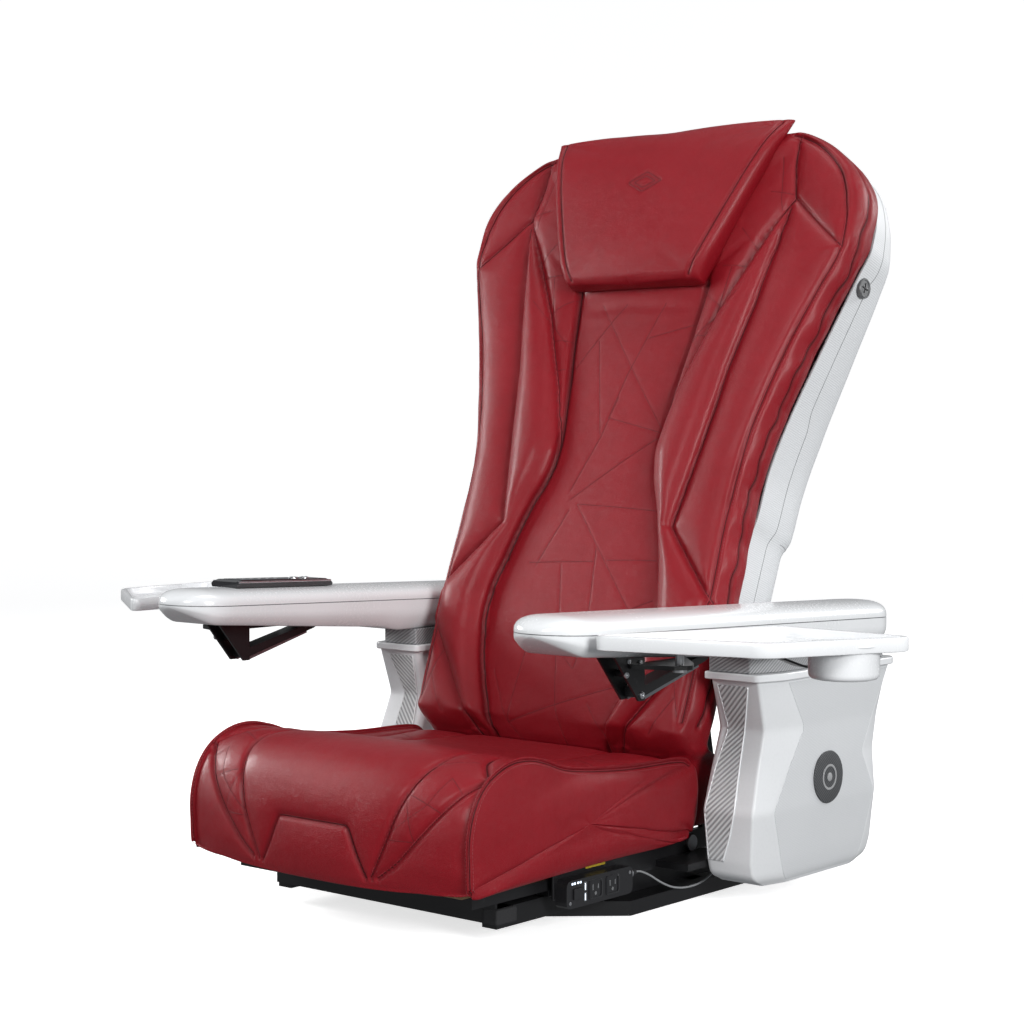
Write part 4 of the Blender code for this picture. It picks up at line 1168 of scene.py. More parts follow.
    def build(self) -> bpy.types.Object:
        """Form, inflate, refine and sew the cushion."""
        obj = self.form()
        seams = mirrored([self.CENTRE, self.STRIP, self.BOLSTER, self.SHOULDER, self.CROWN, self.LOWER, self.RIM])
        tree = faces_tree(obj)
        held = []
        for seam in seams:
            start, aim = self.lay(resample(seam, 0.02))
            hits = [tree.ray_cast(Vector(p), Vector(aim))[0] for p in start]
            held.append(np.array([tuple(hit) for hit in hits if hit is not None]))
        rear_line = resample([back(-0.25, 0.0, 0.07), back(-0.25, 1.05, 0.07)], 0.05)
        self.inflate(obj, held + [rear_line, rear_line * np.array([-1.0, 1.0, 1.0])], 0.014)
        self.refine(obj)
        groups, laid = {}, {}
        for key, lines, step in (("deep", mirrored([self.CENTRE]), 0.006),
                                 ("seam", mirrored([self.STRIP, self.BOLSTER, self.SHOULDER, self.CROWN,
                                                    self.LOWER]), 0.006),
                                 ("rim", mirrored([self.RIM]), 0.006),
                                 ("quilt", self.QUILT + mirrored(self.SIDE_QUILT), 0.008)):
            groups[key] = [self.lay(curved(line, 5) if key in ("deep", "rim") else np.asarray(line, float))
                           for line in lines]
            laid[key] = self.drape(obj, groups[key], step)
        gusset = self.gusset_lines()
        laid["gusset"] = self.drape(obj, gusset, 0.008)
        # the last number of each group is the share of painted shade in its grooves
        self.sink(obj, [(laid["deep"], 0.0048, 0.0070, 0.95), (laid["seam"], 0.0028, 0.0036, 0.75),
                        (laid["rim"], 0.0036, 0.0030, 0.6), (laid["quilt"], 0.0020, 0.0008, 0.10),
                        (laid["gusset"], 0.0050, 0.0045, 0.9)])
        dress(obj, Finish.LEATHER, self.body, "leather", ["back_cushion"])
        fine = {key: self.drape(obj, pairs, 0.003) for key, pairs in groups.items()}
        fine["gusset"] = self.drape(obj, gusset, 0.004)
        self.sew("back", fine)
        return obj

    def gusset_lines(self) -> list[Laid]:
        """The wavy seam halfway round each side, and the direction in which it drops."""
        s = np.linspace(0.085, 1.03, 90)
        t = 0.032 + 0.0035 * np.sin(s * 55.0) + 0.002 * np.sin(s * 131.0)
        return [(back(sign * (self.half(s) + 0.05), s, t), -sign * ACROSS) for sign in (1.0, -1.0)]


@dataclass
class Pillow(Cushion):
    """The head pillow: a trapezoid pad with side gussets and a rolled lower edge."""

    name: str = "pillow_upholstery"
    body: str = "backrest"
    pressure: float = 3.0
    cap: float = 0.005
    low: float = 0.806
    high: float = 1.096
    thickness: float = 0.046

    def half(self, s: Array) -> Array:
        """Half width along the lean."""
        return smooth_table(s, (0.806, 0.86, 0.98, 1.096), (0.136, 0.160, 0.206, 0.247))

    def depth(self, s: Array) -> Array:
        """Height in front of the cushion along the lean: rolled at the foot, thin at the top."""
        return smooth_table(s, (0.806, 0.812, 0.826, 0.86, 0.93, 1.00, 1.06, 1.096),
                            (0.018, 0.034, 0.044, 0.049, 0.047, 0.042, 0.030, 0.012))

    def form(self) -> bpy.types.Object:
        """The closed form: a crowned front with round side edges, flat on its rear."""
        s = self.low + (self.high - self.low) * (0.5 - 0.5 * np.cos(np.linspace(0.06, 1.0, 66) * math.pi)) ** 0.9
        half, deep = self.half(s)[:, None], self.depth(s)[:, None]
        flat_x = np.linspace(-1.0, 1.0, 81)[None]
        edge = 0.016
        angle = np.linspace(0.0, math.pi / 2, 6)[1:][None]
        rear_x = np.linspace(1.0, -1.0, 21)[None]
        crown = 0.006 * (1.0 - flat_x ** 2)
        sweep = 0.010 * (1.0 - flat_x ** 2) * np.clip((0.83 - s)[:, None] / 0.03, 0, 1)
        xs = [flat_x * (half - edge), half - edge + edge * np.sin(angle), half * rear_x * 0.985,
              -(half - edge + edge * np.sin(angle[:, ::-1]))]
        turned_edge = edge * (1.0 - np.cos(angle)) * np.minimum(deep / 0.03, 1.0) - deep
        ts = [-deep - crown, turned_edge, 0.0 * rear_x, turned_edge[:, ::-1]]
        x = np.concatenate([v + 0.0 * half for v in xs], axis=1)
        t = np.concatenate([v + 0.0 * half for v in ts], axis=1)
        along = s[:, None] + 0.0 * x
        along[:, :81] -= sweep * 0.4
        t = np.minimum(t, 0.0055)
        return Surface().grid(back(x, along, t - 0.0005), loop=True, caps=True).build(self.name, 180.0)

    def build(self) -> bpy.types.Object:
        """Form, inflate, refine and sew the pillow."""
        obj = self.form()
        s = np.linspace(self.low + 0.010, self.high - 0.004, 40)
        edges = [(back(sign * (self.half(s) - 0.018), s, -0.12), REAR) for sign in (1.0, -1.0)]
        rear = [back(sign * self.half(s) * k, s, 0.0) for sign in (1.0, -1.0) for k in (0.2, 0.6, 0.95)]
        held = [line for line, _ in self.drape(obj, edges, 0.01)]
        self.inflate(obj, rear + held, 0.012)
        self.refine(obj)
        sides = self.drape(obj, edges, 0.005)
        emblem = [(back(p[:, 0], p[:, 1], -0.12), REAR) for p in self.emblem()]
        marks = self.drape(obj, emblem, 0.003)
        # the last number of each group is the share of painted shade in its grooves
        self.sink(obj, [(sides, 0.0036, 0.0035, 0.7), (marks, 0.0028, 0.0014, 0.55)])
        dress(obj, Finish.LEATHER, self.body, "leather", ["head_pillow"])
        shadow, welt, pressed = Surface(), Surface(), Surface()
        for line, normal in self.drape(obj, edges, 0.003):
            ribbon(shadow, line, normal, *self.SHADOW_CORD)
            across = unit(np.cross(unit(np.gradient(line, axis=0)), normal))
            outer = across * np.sign(line[len(line) // 2, 0] * across[len(line) // 2, 0])
            # the welt's lighter colour is a painted highlight along the seam
            ribbon(welt, line - outer * self.WELT_ASIDE, normal, 0.0016, 0.0008, 0.0003)
        # the emblem's pressed lines are darker cords: painted shade
        for line, normal in self.drape(obj, emblem, 0.002):
            ribbon(pressed, line, normal, 0.0022, 0.0004, 0.0)
        for surface, name, kind in ((shadow, "seam_shadow", Finish.SHADOW), (welt, "welt", Finish.PIPING),
                                    (pressed, "emblem", Finish.EMBOSS)):
            dress(surface.build("pillow_" + name, 180.0), kind, self.body, "leather")
        return obj

    @staticmethod
    def emblem() -> list[Array]:
        """A plain pressed lozenge inside another, as flat lines."""
        lines = []
        for wide, tall in ((0.034, 0.019), (0.022, 0.0115)):
            corners = [(wide, 0.0), (0.0, tall), (-wide, 0.0), (0.0, -tall), (wide, 0.0)]
            lines.append(resample(corners, 0.004) + np.array([0.0, 0.985]))
        return lines


def catmull(knots: Array, at: Array) -> Array:
    """A Catmull-Rom curve read at any places.

    Args:
        knots: Knots on the axis before the last, with any leading axes.
        at: Places, where 0 is the first knot and 1 the second.

    Returns:
        The points, with the places on the axis before the last.
    """
    count = knots.shape[-2]
    i = np.clip(at.astype(int), 0, count - 2)
    f = (at - i)[:, None]
    a, b, c, d = (knots[..., np.clip(i + k, 0, count - 1), :] for k in (-1, 0, 1, 2))
    return 0.5 * (2 * b + (c - a) * f + (2 * a - 5 * b + 4 * c - d) * f ** 2 + (3 * b - a - 3 * c + d) * f ** 3)


@dataclass
class SeatCushion(Cushion):
    """The seat cushion: a roll in front, a saddle behind it and flat gussets at its sides."""

    name: str = "seat_upholstery"
    body: str = "seat"
    cap: float = 0.009
    aside: float = 0.0050
    half: float = 0.2800
    edge: float = 0.011

    # outlines in y and z, from the rear bottom over the top to the front bottom
    SIDE = [(-0.0045, 0.1010), (-0.0040, 0.1850), (-0.0120, 0.2110), (-0.0470, 0.2200), (-0.1750, 0.2240),
            (-0.3000, 0.2370), (-0.3600, 0.2550), (-0.4000, 0.2630), (-0.4400, 0.2590), (-0.4780, 0.2400),
            (-0.5020, 0.2100), (-0.5130, 0.1720), (-0.5130, 0.1350), (-0.5100, 0.0975), (-0.4920, 0.0985),
            (-0.2500, 0.1045), (-0.0200, 0.1045)]
    MIDDLE = [(-0.0045, 0.1010), (-0.0040, 0.1850), (-0.0120, 0.2110), (-0.0470, 0.2230), (-0.1750, 0.2280),
              (-0.3000, 0.2430), (-0.3600, 0.2580), (-0.4100, 0.2670), (-0.4560, 0.2680), (-0.4960, 0.2560),
              (-0.5220, 0.2300), (-0.5360, 0.1900), (-0.5390, 0.1400), (-0.5360, 0.0880), (-0.5050, 0.0900),
              (-0.2500, 0.0985), (-0.0200, 0.0985)]
    CORE = (0.0, -0.26, 0.150)

    def profile(self, x: Array) -> Array:
        """Rings round the x axis: the side and middle outlines mixed by the distance across."""
        side, middle = np.array(self.SIDE), np.array(self.MIDDLE)
        share = np.abs(x / self.half)[:, None, None] ** 2.4
        knots = side * share + middle * (1.0 - share)
        knots[:, 13, 1] += 0.002 * np.exp(-((np.abs(x) - 0.205) / 0.035) ** 2)
        knots = np.concatenate([knots, knots[:, :1]], axis=1)
        spans = np.linalg.norm(np.diff(side, axis=0, append=side[:1]), axis=1)
        cells = np.maximum(np.round(spans / 0.0062).astype(int), 2)
        at = np.concatenate([k + np.arange(n) / n for k, n in enumerate(cells)])
        return catmull(knots, at)

    def form(self) -> bpy.types.Object:
        """The closed form: rings across, a round edge and a gusset that closes on its middle."""
        flat = np.linspace(-1.0, 1.0, 93) * (self.half - self.edge)
        angle = np.linspace(0.0, math.pi / 2, 5)[1:]
        ring = self.profile(np.concatenate([flat, np.full(len(angle), self.half)]))
        along = unit(np.roll(ring, -1, 1) - np.roll(ring, 1, 1))
        inward = np.stack([along[..., 1], -along[..., 0]], -1)
        body, rim = ring[:93], ring[93:] + inward[93:] * (self.edge * (1.0 - np.cos(angle)))[:, None, None]
        share = np.linspace(0.0, 0.97, 22)[1:, None, None]
        gusset = rim[-1][None] * (1.0 - share) + np.array([-0.27, 0.160]) * share
        bulge = 0.0035 * np.sin(np.minimum(share[:, 0, 0] * 2.2, 1.0) * math.pi / 2)
        yz = np.concatenate([rim, gusset])
        x = np.concatenate([self.half - self.edge + self.edge * np.sin(angle), self.half + bulge])
        x_all = np.concatenate([-x[::-1], flat, x])
        rings = np.concatenate([yz[::-1], body, yz])
        points = np.concatenate([np.broadcast_to(x_all[:, None, None], (*rings.shape[:2], 1)), rings], axis=2)
        return Surface().grid(points, loop=True, caps=True).build(self.name, 180.0)

    # seams as points across, along y and up; the other side mirrors them
    INNER = [(0.150, -0.030, 0.240), (0.163, -0.200, 0.245), (0.174, -0.360, 0.272), (0.182, -0.430, 0.280),
             (0.184, -0.468, 0.270), (0.172, -0.514, 0.236), (0.154, -0.534, 0.190), (0.143, -0.540, 0.160),
             (0.115, -0.545, 0.098)]
    OUTER = [(0.277, -0.474, 0.250), (0.254, -0.500, 0.232), (0.231, -0.520, 0.205), (0.192, -0.535, 0.160),
             (0.160, -0.542, 0.124), (0.128, -0.545, 0.098)]
    POCKET = [(0.106, -0.545, 0.096), (0.088, -0.545, 0.131), (0.070, -0.545, 0.172), (-0.070, -0.545, 0.172),
              (-0.088, -0.545, 0.131), (-0.106, -0.545, 0.096)]
    SADDLE = [(0.272, -0.468, 0.262), (0.243, -0.425, 0.285), (0.232, -0.330, 0.270), (0.236, -0.180, 0.245),
              (0.262, -0.040, 0.238)]
    FOLDS = [[(0.165, -0.520, 0.228), (0.232, -0.520, 0.205)], [(0.148, -0.540, 0.169), (0.205, -0.520, 0.210),
                                                                (0.227, -0.490, 0.248)],
             [(0.166, -0.520, 0.228), (0.191, -0.535, 0.162)], [(0.146, -0.540, 0.160), (0.190, -0.536, 0.161)],
             [(0.226, -0.490, 0.248), (0.252, -0.500, 0.234)], [(0.184, -0.475, 0.262), (0.240, -0.445, 0.272)],
             [(0.176, -0.400, 0.280), (0.238, -0.385, 0.275)], [(0.170, -0.300, 0.262), (0.232, -0.330, 0.262)],
             [(0.170, -0.300, 0.262), (0.236, -0.180, 0.250)], [(0.160, -0.160, 0.245), (0.236, -0.180, 0.245)],
             [(0.160, -0.160, 0.245), (0.245, -0.110, 0.240)]]

    def hem(self, corner: float) -> Array:
        """The line where top and front meet a side gusset.

        Args:
            corner: How far in front of the rear the line starts, as a knot number.

        Returns:
            Its points on the left side.
        """
        knots = np.concatenate([np.array(self.SIDE), np.array(self.SIDE)[:1]])
        yz = catmull(knots, np.linspace(corner, 13.0, 90))
        return np.concatenate([np.full((90, 1), self.half - 0.0015), yz], axis=1)

    def aim(self, line: Any) -> tuple[Array, Array]:
        """A line moved out of the surface, and the directions in which it drops.

        Args:
            line: Points near the surface.

        Returns:
            The moved points and one direction for each.
        """
        line = np.asarray(line, float)
        core = np.stack([line[:, 0] * 0.86, np.clip(line[:, 1], -0.43, -0.05), np.full(len(line), self.CORE[2])], 1)
        out = unit(line - core)
        return line + 0.05 * out, -out

    def build(self) -> bpy.types.Object:
        """Form, swell, inflate, refine and sew the seat."""
        obj = self.form()
        flip = np.array([-1.0, 1.0, 1.0])
        both = lambda lines: [np.asarray(line, float) * k for line in lines for k in (1.0, flip)]
        rims = both([self.hem(2.0)])
        kinds = {"seam": both([curved(self.INNER, 5), curved(self.OUTER, 5)]), "pocket": [np.array(self.POCKET)],
                 "saddle": both([curved(self.SADDLE, 5)]), "rim": rims, "quilt": both(self.FOLDS)}
        aimed = {key: [self.aim(resample(line, 0.01)) for line in lines] for key, lines in kinds.items()}
        lay = lambda key, step: self.drape(obj, aimed[key], step)
        sewn = [line for key in ("seam", "pocket", "saddle", "rim") for line, _ in lay(key, 0.010)]
        self.swell(obj, sewn)
        self.inflate(obj, sewn + [np.array([(x, -0.50, 0.098), (x, -0.02, 0.098)]) for x in
                                  np.linspace(-0.26, 0.26, 9)], 0.014)
        self.refine(obj)
        laid = {key: lay(key, 0.006) for key in kinds}
        # the last number of each group is the share of painted shade in its grooves
        self.sink(obj, [(laid["seam"], 0.0038, 0.0045, 0.7), (laid["pocket"], 0.0032, 0.0040, 0.8),
                        (laid["saddle"], 0.0040, 0.0035, 0.45), (laid["rim"], 0.0036, 0.0030, 0.6),
                        (laid["quilt"], 0.0020, 0.0008, 0.10)])
        dress(obj, Finish.LEATHER, self.body, "leather", ["seat_cushion"])
        self.sew("seat", {key: lay(key, 0.003) for key in kinds})
        # the hem piping is real; its lighter colour paints a highlight
        dress(self.piping().build("seat_hem_piping", 180.0), Finish.PIPING, self.body, "leather")
        return obj

    def swell(self, obj: bpy.types.Object, sewn: list[Array]) -> None:
        """Let the panels rise from their seams as quarter circles of the distance to them."""
        points, normal = coordinates(obj), normals(obj)
        reach = 0.045
        f = distance_to(points, sewn, reach) / reach
        rise = 0.0060 * np.sqrt(1.0 - (1.0 - f) ** 2) - 0.0015
        upper = ease((points[:, 2] - 0.100) / 0.03) * ease((-0.008 - points[:, 1]) / 0.03)
        side = 1.0 - 0.55 * ease((np.abs(points[:, 0]) - self.half + 0.004) / 0.004)
        move_points(obj, points + normal * (rise * upper * side)[:, None])

    def piping(self) -> Surface:
        """The piped hem along both sides of the underside."""
        y = np.linspace(-0.494, -0.020, 60)
        line = np.stack([np.full_like(y, self.half - 0.0005), y, 0.1040 + 0.0 * y], 1)
        surface = Surface()
        for sign in (1.0, -1.0):
            surface.tube(line * np.array([sign, 1.0, 1.0]), 0.0020, 10)
        return surface


# ---------------------------------------------------------------- moulded shells
def bent_table(at: Any, knots: Sequence[float], values: Sequence[float], blend: float) -> Array:
    """Straight runs between knots with rounded corners: the mean of the broken line over a short window."""
    shifts = np.linspace(-blend, blend, 9)
    return np.mean([np.interp(np.asarray(at, float) + shift, knots, values) for shift in shifts], axis=0)


@dataclass
class Post:
    """A hollow post beside the seat: faceted shell, ribbed insert, dotted side panel, badge and cap."""

    side: Side
    inner: float = 0.302
    corner_radius: float = 0.0045
    cap_levels: tuple[float, float] = (0.3465, 0.358)
    rib_pitch: float = 0.0062
    rib_height: float = 0.0011

    # height, front, rear, outer side, outer front corner, side facet from and to
    STATIONS = np.array([
        (0.036, 0.038, 0.286, 0.394, 0.384, 0.085, 0.255),
        (0.040, 0.018, 0.306, 0.398, 0.386, 0.070, 0.268),
        (0.050, 0.003, 0.320, 0.401, 0.387, 0.060, 0.280),
        (0.072, -0.004, 0.328, 0.403, 0.388, 0.050, 0.290),
        (0.150, -0.015, 0.335, 0.407, 0.398, 0.024, 0.318),
        (0.215, 0.008, 0.332, 0.405, 0.392, 0.070, 0.284),
        (0.270, 0.029, 0.349, 0.402, 0.389, 0.114, 0.320),
        (0.348, 0.006, 0.374, 0.405, 0.392, 0.062, 0.364)])
    INSERT = np.array([(0.072, 0.311, 0.336), (0.110, 0.311, 0.352), (0.150, 0.311, 0.364), (0.215, 0.316, 0.358),
                       (0.270, 0.324, 0.353), (0.338, 0.317, 0.372)])

    def at(self, z: Array) -> Array:
        """The stations' numbers at any heights, with softened changes of direction."""
        table = self.STATIONS
        return np.stack([bent_table(z, table[:, 0], table[:, k], 0.006) for k in range(1, 7)], axis=-1)

    def shell(self) -> bpy.types.Object:
        """The faceted shell: an eight-cornered section carried up through the stations."""
        levels = np.concatenate([np.linspace(0.036, 0.072, 14), np.linspace(0.074, 0.348, 90)])
        rings = []
        for z, (front, rear, outer, corner, a, b) in zip(levels, self.at(levels)):
            corners = [(self.inner, front + 0.008), (self.inner + 0.008, front), (corner, front), (outer, a),
                       (outer, b), (outer - 0.010, rear), (self.inner + 0.008, rear), (self.inner, rear - 0.008)]
            flat = rounded(corners, self.corner_radius, 4)
            rings.append(np.column_stack([flat, np.full(len(flat), z)]))
        points = np.stack(rings) * self.side.flip
        surface = Surface().grid(points, loop=True, caps=True)
        obj = surface.build("post_shell_" + self.side.word, 24.0)
        return dress(obj, Finish.SATIN, "seat", "white_plastic", ["post_" + self.side.word])

    def cap(self) -> bpy.types.Object:
        """The lipped cap that the armrest's neck stands on."""
        corners = [(0.2965, -0.002), (0.396, -0.002), (0.412, 0.056), (0.412, 0.366), (0.398, 0.386), (0.2965, 0.386)]
        flat = rounded(corners, 0.010, 6) * np.array([self.side.value, 1.0])
        obj = Surface().prism(flat, self.cap_levels).build("post_cap_" + self.side.word)
        soften(obj, 0.0022, 3)
        return dress(obj, Finish.WHITE, "seat", "white_plastic")

    def insert(self) -> bpy.types.Object:
        """The ribbed insert: slanted ribs as a sine of height plus distance across, flat at its border."""
        z = np.linspace(0.072, 0.338, 240)
        front = self.at(z)[:, 0]
        inner = bent_table(z, self.INSERT[:, 0], self.INSERT[:, 1], 0.006)
        outer = bent_table(z, self.INSERT[:, 0], self.INSERT[:, 2], 0.006)
        share = np.linspace(0.0, 1.0, 40)
        x = inner[:, None] + (outer - inner)[:, None] * share
        wave = 0.5 + 0.5 * np.sin(2.0 * math.pi * (z[:, None] - x) / (self.rib_pitch * math.sqrt(2.0)))
        margin = np.minimum(x - inner[:, None], outer[:, None] - x)
        margin = np.minimum(margin, np.minimum(z - z[0], z[-1] - z)[:, None])
        rise = self.rib_height * wave ** 0.7 * ease(margin / 0.0016)
        face = np.stack([x, front[:, None] - 0.0006 - rise, z[:, None] + 0.0 * x], -1)
        behind = face[:, [-1, 0]].copy()
        behind[..., 1] = (front + 0.0010)[:, None]
        points = np.concatenate([face, behind], axis=1) * self.side.flip
        obj = Surface().grid(points, loop=True, caps=True).build("post_ribs_" + self.side.word, 60.0)
        # the ribbed finish's dark grooves match the rib troughs: painted shade
        kind = Finish.RIB if self.side is Side.LEFT else Finish.RIB_FAR
        return dress(obj, kind, "seat", "striped_plastic", ["post_insert_" + self.side.word])

    def frame(self) -> bpy.types.Object:
        """A thin raised border round the ribbed insert."""
        z = np.linspace(0.072, 0.338, 80)
        front = self.at(z)[:, 0]
        surface = Surface()
        for column, order in ((1, 1), (2, -1)):
            x = bent_table(z, self.INSERT[:, 0], self.INSERT[:, column], 0.006)
            line = np.column_stack([x, front - 0.0004, z]) * self.side.flip
            surface.tube(resample(line[::order], 0.004), 0.0013, 8)
        return dress(surface.build("post_insert_edge_" + self.side.word, 180.0), Finish.WHITE, "seat", "white_plastic")

    def panel(self) -> bpy.types.Object:
        """The hourglass side panel with a fine dotted skin, 0.5 mm proud."""
        z = np.linspace(0.041, 0.342, 80)
        _, _, outer, _, a, b = self.at(z).T
        a, b = a + 0.004, b - 0.004
        share = np.linspace(0.0, 1.0, 12)
        y = a[:, None] + (b - a)[:, None] * share
        face = np.stack([(outer + 0.0005)[:, None] + 0.0 * y, y, z[:, None] + 0.0 * y], -1)
        behind = face[:, [-1, 0]].copy()
        behind[..., 0] -= 0.0020
        points = np.concatenate([face, behind], axis=1) * self.side.flip
        obj = Surface().grid(points, loop=True, caps=True).build("post_panel_" + self.side.word)
        return dress(obj, Finish.PANEL, "seat", "white_plastic")

    def badge(self) -> None:
        """The round badge: a slightly domed disc with a plain ring and dot."""
        sign = self.side.value
        centre = (sign * 0.4074, 0.178, 0.186)
        disc = [(0.0395, -0.0030), (0.0410, 0.0008), (0.0402, 0.0020), (0.0380, 0.0026), (0.0200, 0.0029),
                (0.0, 0.0030)]
        obj = Surface().turned(disc, centre, (sign, 0.0, 0.0), 96).build("badge_disc_" + self.side.word)
        dress(obj, Finish.BADGE, "seat", "dark_plastic", ["post_badge_" + self.side.word])
        ring = np.array([(0.0165, 0.0020), (0.0165, 0.0034), (0.0185, 0.0038), (0.0200, 0.0034), (0.0200, 0.0020),
                         (0.0165, 0.0020)])
        spokes = np.linspace(0.0, 2.0 * math.pi, 97)[:, None]
        rows = [sign * (centre[0] * sign + ring[:, 1]) + 0.0 * spokes, centre[1] + np.cos(spokes) * ring[:, 0],
                centre[2] + np.sin(spokes) * ring[:, 0]]
        surface = Surface().grid(np.stack(rows, -1))
        surface.turned([(0.0068, 0.0020), (0.0068, 0.0036), (0.0058, 0.0042), (0.0, 0.0044)], centre, (sign, 0, 0), 48)
        dress(surface.build("badge_ring_" + self.side.word), Finish.RING, "seat", "dark_plastic")

    def build(self) -> None:
        """Every piece of the post."""
        self.shell()
        self.cap()
        self.insert()
        self.frame()
        self.panel()
        self.badge()


@dataclass
class BackShell:
    """The hollow white shell behind the cushion, with its parting lines and round caps."""

    front: float = 0.0704
    wall: float = 0.0030
    cap_radius: float = 0.0165

    # distance along the lean, half width, depth at the side edge, depth in the middle
    STATIONS = np.array([
        (0.165, 0.268, 0.120, 0.205), (0.300, 0.276, 0.130, 0.213), (0.405, 0.276, 0.135, 0.216),
        (0.432, 0.281, 0.150, 0.226), (0.514, 0.286, 0.150, 0.228), (0.600, 0.303, 0.145, 0.226),
        (0.720, 0.338, 0.135, 0.212), (0.840, 0.376, 0.125, 0.192), (0.895, 0.392, 0.115, 0.176),
        (0.950, 0.388, 0.105, 0.155), (1.001, 0.366, 0.098, 0.130), (1.050, 0.312, 0.090, 0.106),
        (1.083, 0.250, 0.082, 0.088)])

    def at(self, s: Array) -> tuple[Array, Array, Array]:
        """Half width, side depth and middle depth along the lean."""
        knots = self.STATIONS[:, 0]
        half = smooth_table(s, knots, self.STATIONS[:, 1])
        edge = bent_table(s, knots, self.STATIONS[:, 2], 0.006)
        middle = bent_table(s, knots, self.STATIONS[:, 3], 0.006)
        return half, edge, middle

    def skin(self) -> bpy.types.Object:
        """The shell: straight sides and a rear whose depth falls off as the fourth power of a sine."""
        s = np.concatenate([np.linspace(0.165, 1.040, 170), np.linspace(1.045, 1.083, 14)])
        half, edge, middle = self.at(s)
        u = np.linspace(-1.0, 1.0, 97)
        side = np.linspace(0.0, 1.0, 9)[:-1]
        x_rear = half[:, None] * np.sin(u * math.pi / 2)
        t_rear = edge[:, None] + (middle - edge)[:, None] * (1.0 - u ** 4)
        x_side = half[:, None] + 0.0 * side
        t_side = self.front + (edge - self.front)[:, None] * side
        x = np.concatenate([-x_side, x_rear, x_side], axis=1)
        t = np.concatenate([t_side, t_rear, t_side[:, ::-1]], axis=1)
        rows = s[:, None] + 0.0 * x
        lid_t = [self.front + (t[-1] - self.front) * k for k in (0.93, 0.75, 0.4, 0.0)]
        lid_s = [rows[-1] + k for k in (0.0014, 0.0024, 0.0030, 0.0030)]
        x = np.concatenate([x, np.repeat(x[-1:] * 0.994, 4, axis=0)])
        points = back(x, np.concatenate([rows, lid_s]), np.concatenate([t, lid_t]))
        obj = Surface().grid(points).build("shell_skin", 30.0, outward=False)
        self.face_out(obj)
        wall = obj.modifiers.new("wall", "SOLIDIFY")
        wall.thickness = self.wall
        wall.offset = -1.0
        settle(obj)
        notch = Surface().prism(rounded([(-0.080, 0.100), (0.080, 0.100), (0.080, 0.262), (-0.080, 0.262)], 0.012, 5),
                                (0.110, 0.300))
        notch.points = [back(p[:, 0], p[:, 1], p[:, 2]) for p in notch.points]
        carve(obj, notch, 30.0)
        return dress(obj, Finish.SHELL, "backrest", "white_plastic", ["back_shell"])

    @staticmethod
    def face_out(obj: bpy.types.Object) -> None:
        """Turn an open sheet's faces away from the backrest's middle line."""
        shape = bmesh.new()
        shape.from_mesh(obj.data)
        bmesh.ops.recalc_face_normals(shape, faces=shape.faces)
        face = min(shape.faces, key=lambda f: abs(f.calc_center_median().x) + abs(f.calc_center_median().z - 0.7))
        if face.normal.y < 0.0:
            bmesh.ops.reverse_faces(shape, faces=shape.faces)
        shape.to_mesh(obj.data)
        shape.free()

    def across(self, level: float, u: Array) -> tuple[Array, Array]:
        """A line across the rear at a level, u from -1 to 1, and the direction it faces."""
        half, edge, middle = self.at(np.full_like(u, level))
        line = back(half * np.sin(u * math.pi / 2), level, edge + (middle - edge) * (1.0 - u ** 4))
        return line, np.broadcast_to(REAR, line.shape)

    def parting(self) -> bpy.types.Object:
        """Thin dark parting lines down both sides, with two jogs, and across the rear at the step."""
        surface = Surface()
        s = np.linspace(0.17, 1.03, 160)
        half, edge, _ = self.at(s)
        share = bent_table(s, (0.0, 0.600, 0.630, 0.840, 0.862, 1.1), (0.72, 0.74, 0.60, 0.60, 0.78, 0.80), 0.008)
        for sign in (1.0, -1.0):
            line = back(sign * half, s, self.front + (edge - self.front) * share)
            normal = np.broadcast_to(sign * ACROSS, line.shape)
            ribbon(surface, line, normal, 0.0012, 0.0002, 0.0001)
        for level in (0.418, 0.980):
            ribbon(surface, *self.across(level, np.linspace(-0.97, 0.97, 90)), 0.0014, 0.0003, 0.0)
        return dress(surface.build("shell_parting", 180.0), Finish.LINE, "backrest", "white_plastic")

    def caps(self) -> None:
        """A round grey cap with a cross slot on each side, and vents across the rear."""
        cups, marks = Surface(), Surface()
        s, t = 0.834, 0.092
        half = float(self.at(np.array([s]))[0][0])
        for sign in (1.0, -1.0):
            centre = back(sign * (half - 0.0006), s, t)
            r = self.cap_radius
            cups.turned([(r, 0.0), (r, 0.0050), (r - 0.0012, 0.0062), (r - 0.0030, 0.0062), (r - 0.0040, 0.0050),
                         (0.004, 0.0050), (0.0, 0.0050)], centre, (sign, 0.0, 0.0), 64)
            # the cross slot is a dark raised cross: painted shade in the slot
            for turn in (0.0, math.pi / 2):
                along = math.cos(turn) * UP + math.sin(turn) * REAR
                ends = np.stack([centre + sign * 0.0052 * ACROSS - 0.0080 * along,
                                 centre + sign * 0.0052 * ACROSS + 0.0085 * along])
                marks.tube(resample(ends, 0.004), 0.0011, 8)
        dress(cups.build("shell_caps"), Finish.CAP, "backrest", "dark_plastic")
        dress(marks.build("shell_cap_slots", 180.0), Finish.DARK, "backrest", "dark_plastic")
        vent_shade = Surface()
        # the vents are dark raised stripes: painted shade in the openings
        for number in range(9):
            line, normal = self.across(0.560 + 0.018 * number, np.linspace(-0.22, 0.22, 21))
            ribbon(vent_shade, line, normal, 0.0060, 0.0007, 0.0)
        dress(vent_shade.build("shell_vents", 180.0), Finish.CAP, "backrest", "dark_plastic")

    def build(self) -> None:
        """Every piece of the shell."""
        self.skin()
        self.parting()
        self.caps()


def seam_height(y: Array) -> Array:
    """Height of the armrests' seam, which falls 28 mm over their 850 mm."""
    return 0.453 - (y - Armrest.nose_y) * 0.028 / 0.850


